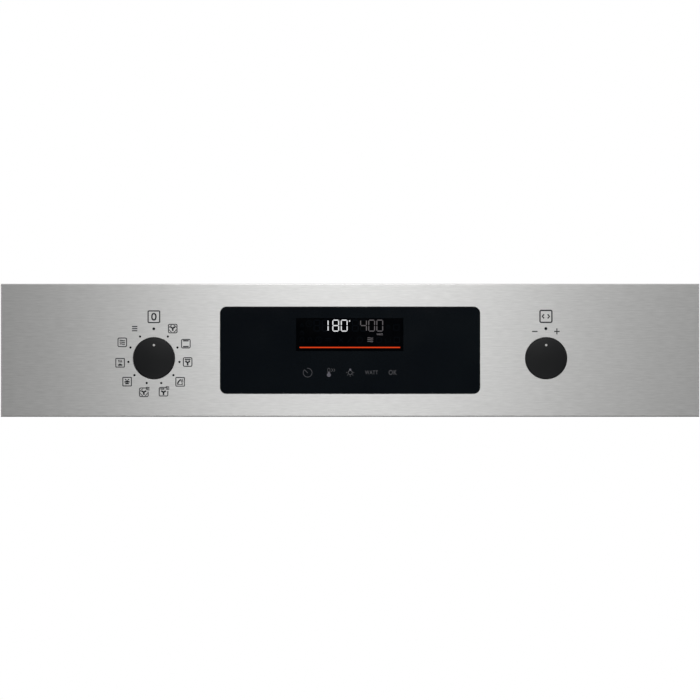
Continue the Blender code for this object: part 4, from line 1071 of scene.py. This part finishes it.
# %% [markdown]
# ## Floor, room and lamps
# The panel is lit as in a product studio. A pale floor lies well below it and keeps the shadow, but fades to white
# towards its rim where the camera sees it. A tall soft card stands behind the camera, brightest in the middle, and
# the brushing smears it up and down, so the steel glows in the middle and falls off to both ends. The polished glass
# reflects only a dark slot in the card at its own height, which keeps it black.

# %% Lay the floor
def staged(name, bm, finish, only_reflected=True):
    """A thing that stands round the panel and isn't part of it."""
    thing = placed(name, as_mesh(name, bm))
    if only_reflected:
        thing.visible_camera = thing.visible_diffuse = thing.visible_shadow = thing.visible_transmission = False
    thing.data.materials.append(finish)


def combine(tree, operation, first, second):
    """One number worked out from two, such as their product."""
    node = new_node(tree, "Math")
    node.operation = operation
    join(tree, (first, node.inputs[0]), (second, node.inputs[1]))
    return node.outputs["Value"]


def mix_into(tree, share, first, second, goal):
    """Shows the second shader in place of the first, by a share from 0 to 1."""
    node = new_node(tree, "MixShader")
    join(tree, (share, node.inputs["Fac"]), (first.outputs[0], node.inputs[1]), (second.outputs[0], node.inputs[2]),
         (node.outputs["Shader"], goal))


floor_radius, floor_height = 1.7, -0.5
floor_white, tree, shader = new_finish("floor_white", (0.80, 0.80, 0.79), 0.7)
spread(tree, noise(tree, 3, 4), 0.66, 0.76, shader.inputs["Roughness"])
place = new_node(tree, "TexCoord")
from_middle = new_node(tree, "Mapping", scale=(1 / floor_radius,) * 3, location=(0, 0, -floor_height / floor_radius))
pool = new_node(tree, "TexGradient")
pool.gradient_type = "SPHERICAL"
fade = new_node(tree, "MapRange", from_min=0.04, from_max=0.75, to_min=1.0, to_max=0.0)
fade.interpolation_type = "SMOOTHSTEP"
join(tree, (place.outputs["Object"], from_middle.inputs["Vector"]), (from_middle.outputs[0], pool.inputs["Vector"]),
     (pool.outputs["Fac"], fade.inputs["Value"]))
eye = new_node(tree, "LightPath")
share = combine(tree, "MULTIPLY", fade.outputs["Result"], eye.outputs["Is Camera Ray"])
glow = new_node(tree, "Emission", color=(1, 1, 1, 1))
mix_into(tree, share, shader, glow, tree.nodes["Material Output"].inputs["Surface"])
bm = bmesh.new()
bmesh.ops.create_circle(bm, cap_ends=True, segments=96, radius=floor_radius,
                        matrix=Matrix.Translation((0, 0, floor_height)))
staged("floor", bm, floor_white, only_reflected=False)

# %% Put up the reflection card
card_distance = 2.9
card_half = (2.6, 6.0)
side_levels = [(-2.6, 0.08), (-1.1, 0.15), (-0.63, 0.31), (-0.55, 0.345), (-0.48, 0.455), (-0.335, 0.96),
               (-0.19, 1.39), (-0.045, 1.55), (0.025, 1.57), (0.10, 1.50), (0.243, 1.245), (0.387, 0.78),
               (0.457, 0.575), (0.53, 0.435), (0.63, 0.47), (1.1, 0.22), (2.6, 0.08)]
height_levels = [(-6.0, 0.2), (-1.3, 0.2), (-0.7, 0.7), (-0.45, 0.5), (-0.28, 0.02), (0.12, 0.02), (0.22, 0.7),
                 (0.36, 0.95), (0.6, 1.3), (1.3, 2.32), (2.2, 2.32), (6.0, 1.1)]


def fall_off(tree, place, half, levels):
    """Brightness along one axis of the card, from pairs of metres from its middle and level."""
    share = new_node(tree, "MapRange", from_min=-half, from_max=half)
    ramp = new_node(tree, "ValToRGB")
    elements = ramp.color_ramp.elements
    for way, level in levels[1:-1]:
        elements.new(0.5 + way / (2 * half))
    for element, (way, level) in zip(elements, levels):
        element.position = 0.5 + way / (2 * half)
        element.color = (level, level, level, 1)
    join(tree, (place, share.inputs["Value"]), (share.outputs["Result"], ramp.inputs["Fac"]))
    return ramp.outputs["Color"]


card_light = bpy.data.materials.new("card_light")
card_light.use_nodes = True
tree = card_light.node_tree
tree.nodes.clear()
output = new_node(tree, "OutputMaterial")
emission = new_node(tree, "Emission")
place = new_node(tree, "TexCoord")
axes = new_node(tree, "SeparateXYZ")
product = new_node(tree, "Mix", factor=1)
product.data_type = "RGBA"
product.blend_type = "MULTIPLY"
join(
    tree, (place.outputs["Object"], axes.inputs["Vector"]),
    (fall_off(tree, axes.outputs["X"], card_half[0], side_levels), product.inputs[6]),
    (fall_off(tree, axes.outputs["Z"], card_half[1], height_levels), product.inputs[7]),
    (product.outputs[2], emission.inputs["Color"]), (emission.outputs["Emission"], output.inputs["Surface"]),
)


def flat_sheet(matrix):
    bm = bmesh.new()
    bmesh.ops.create_grid(bm, x_segments=1, y_segments=1, size=1, matrix=matrix)
    return bm


staged("reflection_card", flat_sheet(
    Matrix.Translation((0, face - card_distance, 0)) @ Matrix.Rotation(math.radians(90), 4, "X")
    @ Matrix.Diagonal((*card_half, 1, 1))
), card_light)

# %% [markdown]
# A dark flag lies low under the panel, out of sight, so that the bottom fold of the steel draws a thin dark line.

# %% Lay the flag
flag_place, flag_half = (0, 0.5, -0.3), (1.2, 0.75)
staged("dark_flag", flat_sheet(Matrix.Translation(flag_place) @ Matrix.Diagonal((*flag_half, 1, 1))),
       moulded("flag_black", (0.02, 0.02, 0.02), 0.9, 200, 0.1 * mm))

# %% Light the room
world = bpy.data.worlds.new("studio")
bpy.context.scene.world = world
world.use_nodes = True
tree = world.node_tree
tree.nodes.clear()
output = new_node(tree, "OutputWorld")
soft = new_node(tree, "Background", color=(1, 1, 1, 1), strength=0.55)
white = new_node(tree, "Background", color=(1, 1, 1, 1), strength=1)
rays = new_node(tree, "LightPath").outputs
seen = combine(tree, "MAXIMUM", rays["Is Camera Ray"], rays["Is Glossy Ray"])
seen = combine(tree, "MAXIMUM", seen, rays["Is Transmission Ray"])
mix_into(tree, seen, soft, white, output.inputs["Surface"])


def add_lamp(name, place, size, power):
    """A soft rectangular lamp aimed at the panel, unseen by the camera."""
    data = bpy.data.lights.new(name, "AREA")
    data.shape = "RECTANGLE"
    data.size, data.size_y = size
    data.energy = power
    lamp = placed(name, data)
    lamp.location = place
    lamp.rotation_euler = (-Vector(place)).to_track_quat("-Z", "Y").to_euler()
    lamp.visible_camera = lamp.visible_glossy = False


add_lamp("key_lamp", (0.5, -1.9, 2.0), (1.6, 1.2), 22)
add_lamp("back_lamp", (-0.9, 2.0, 1.5), (1.4, 1.2), 16)
print(len(bpy.data.lights), "lamps")

# %% [markdown]
# ## Finish
# Colours are shown as they are, without a film look.

# %% Show the colours as they are
bpy.context.scene.view_settings.view_transform = "Standard"
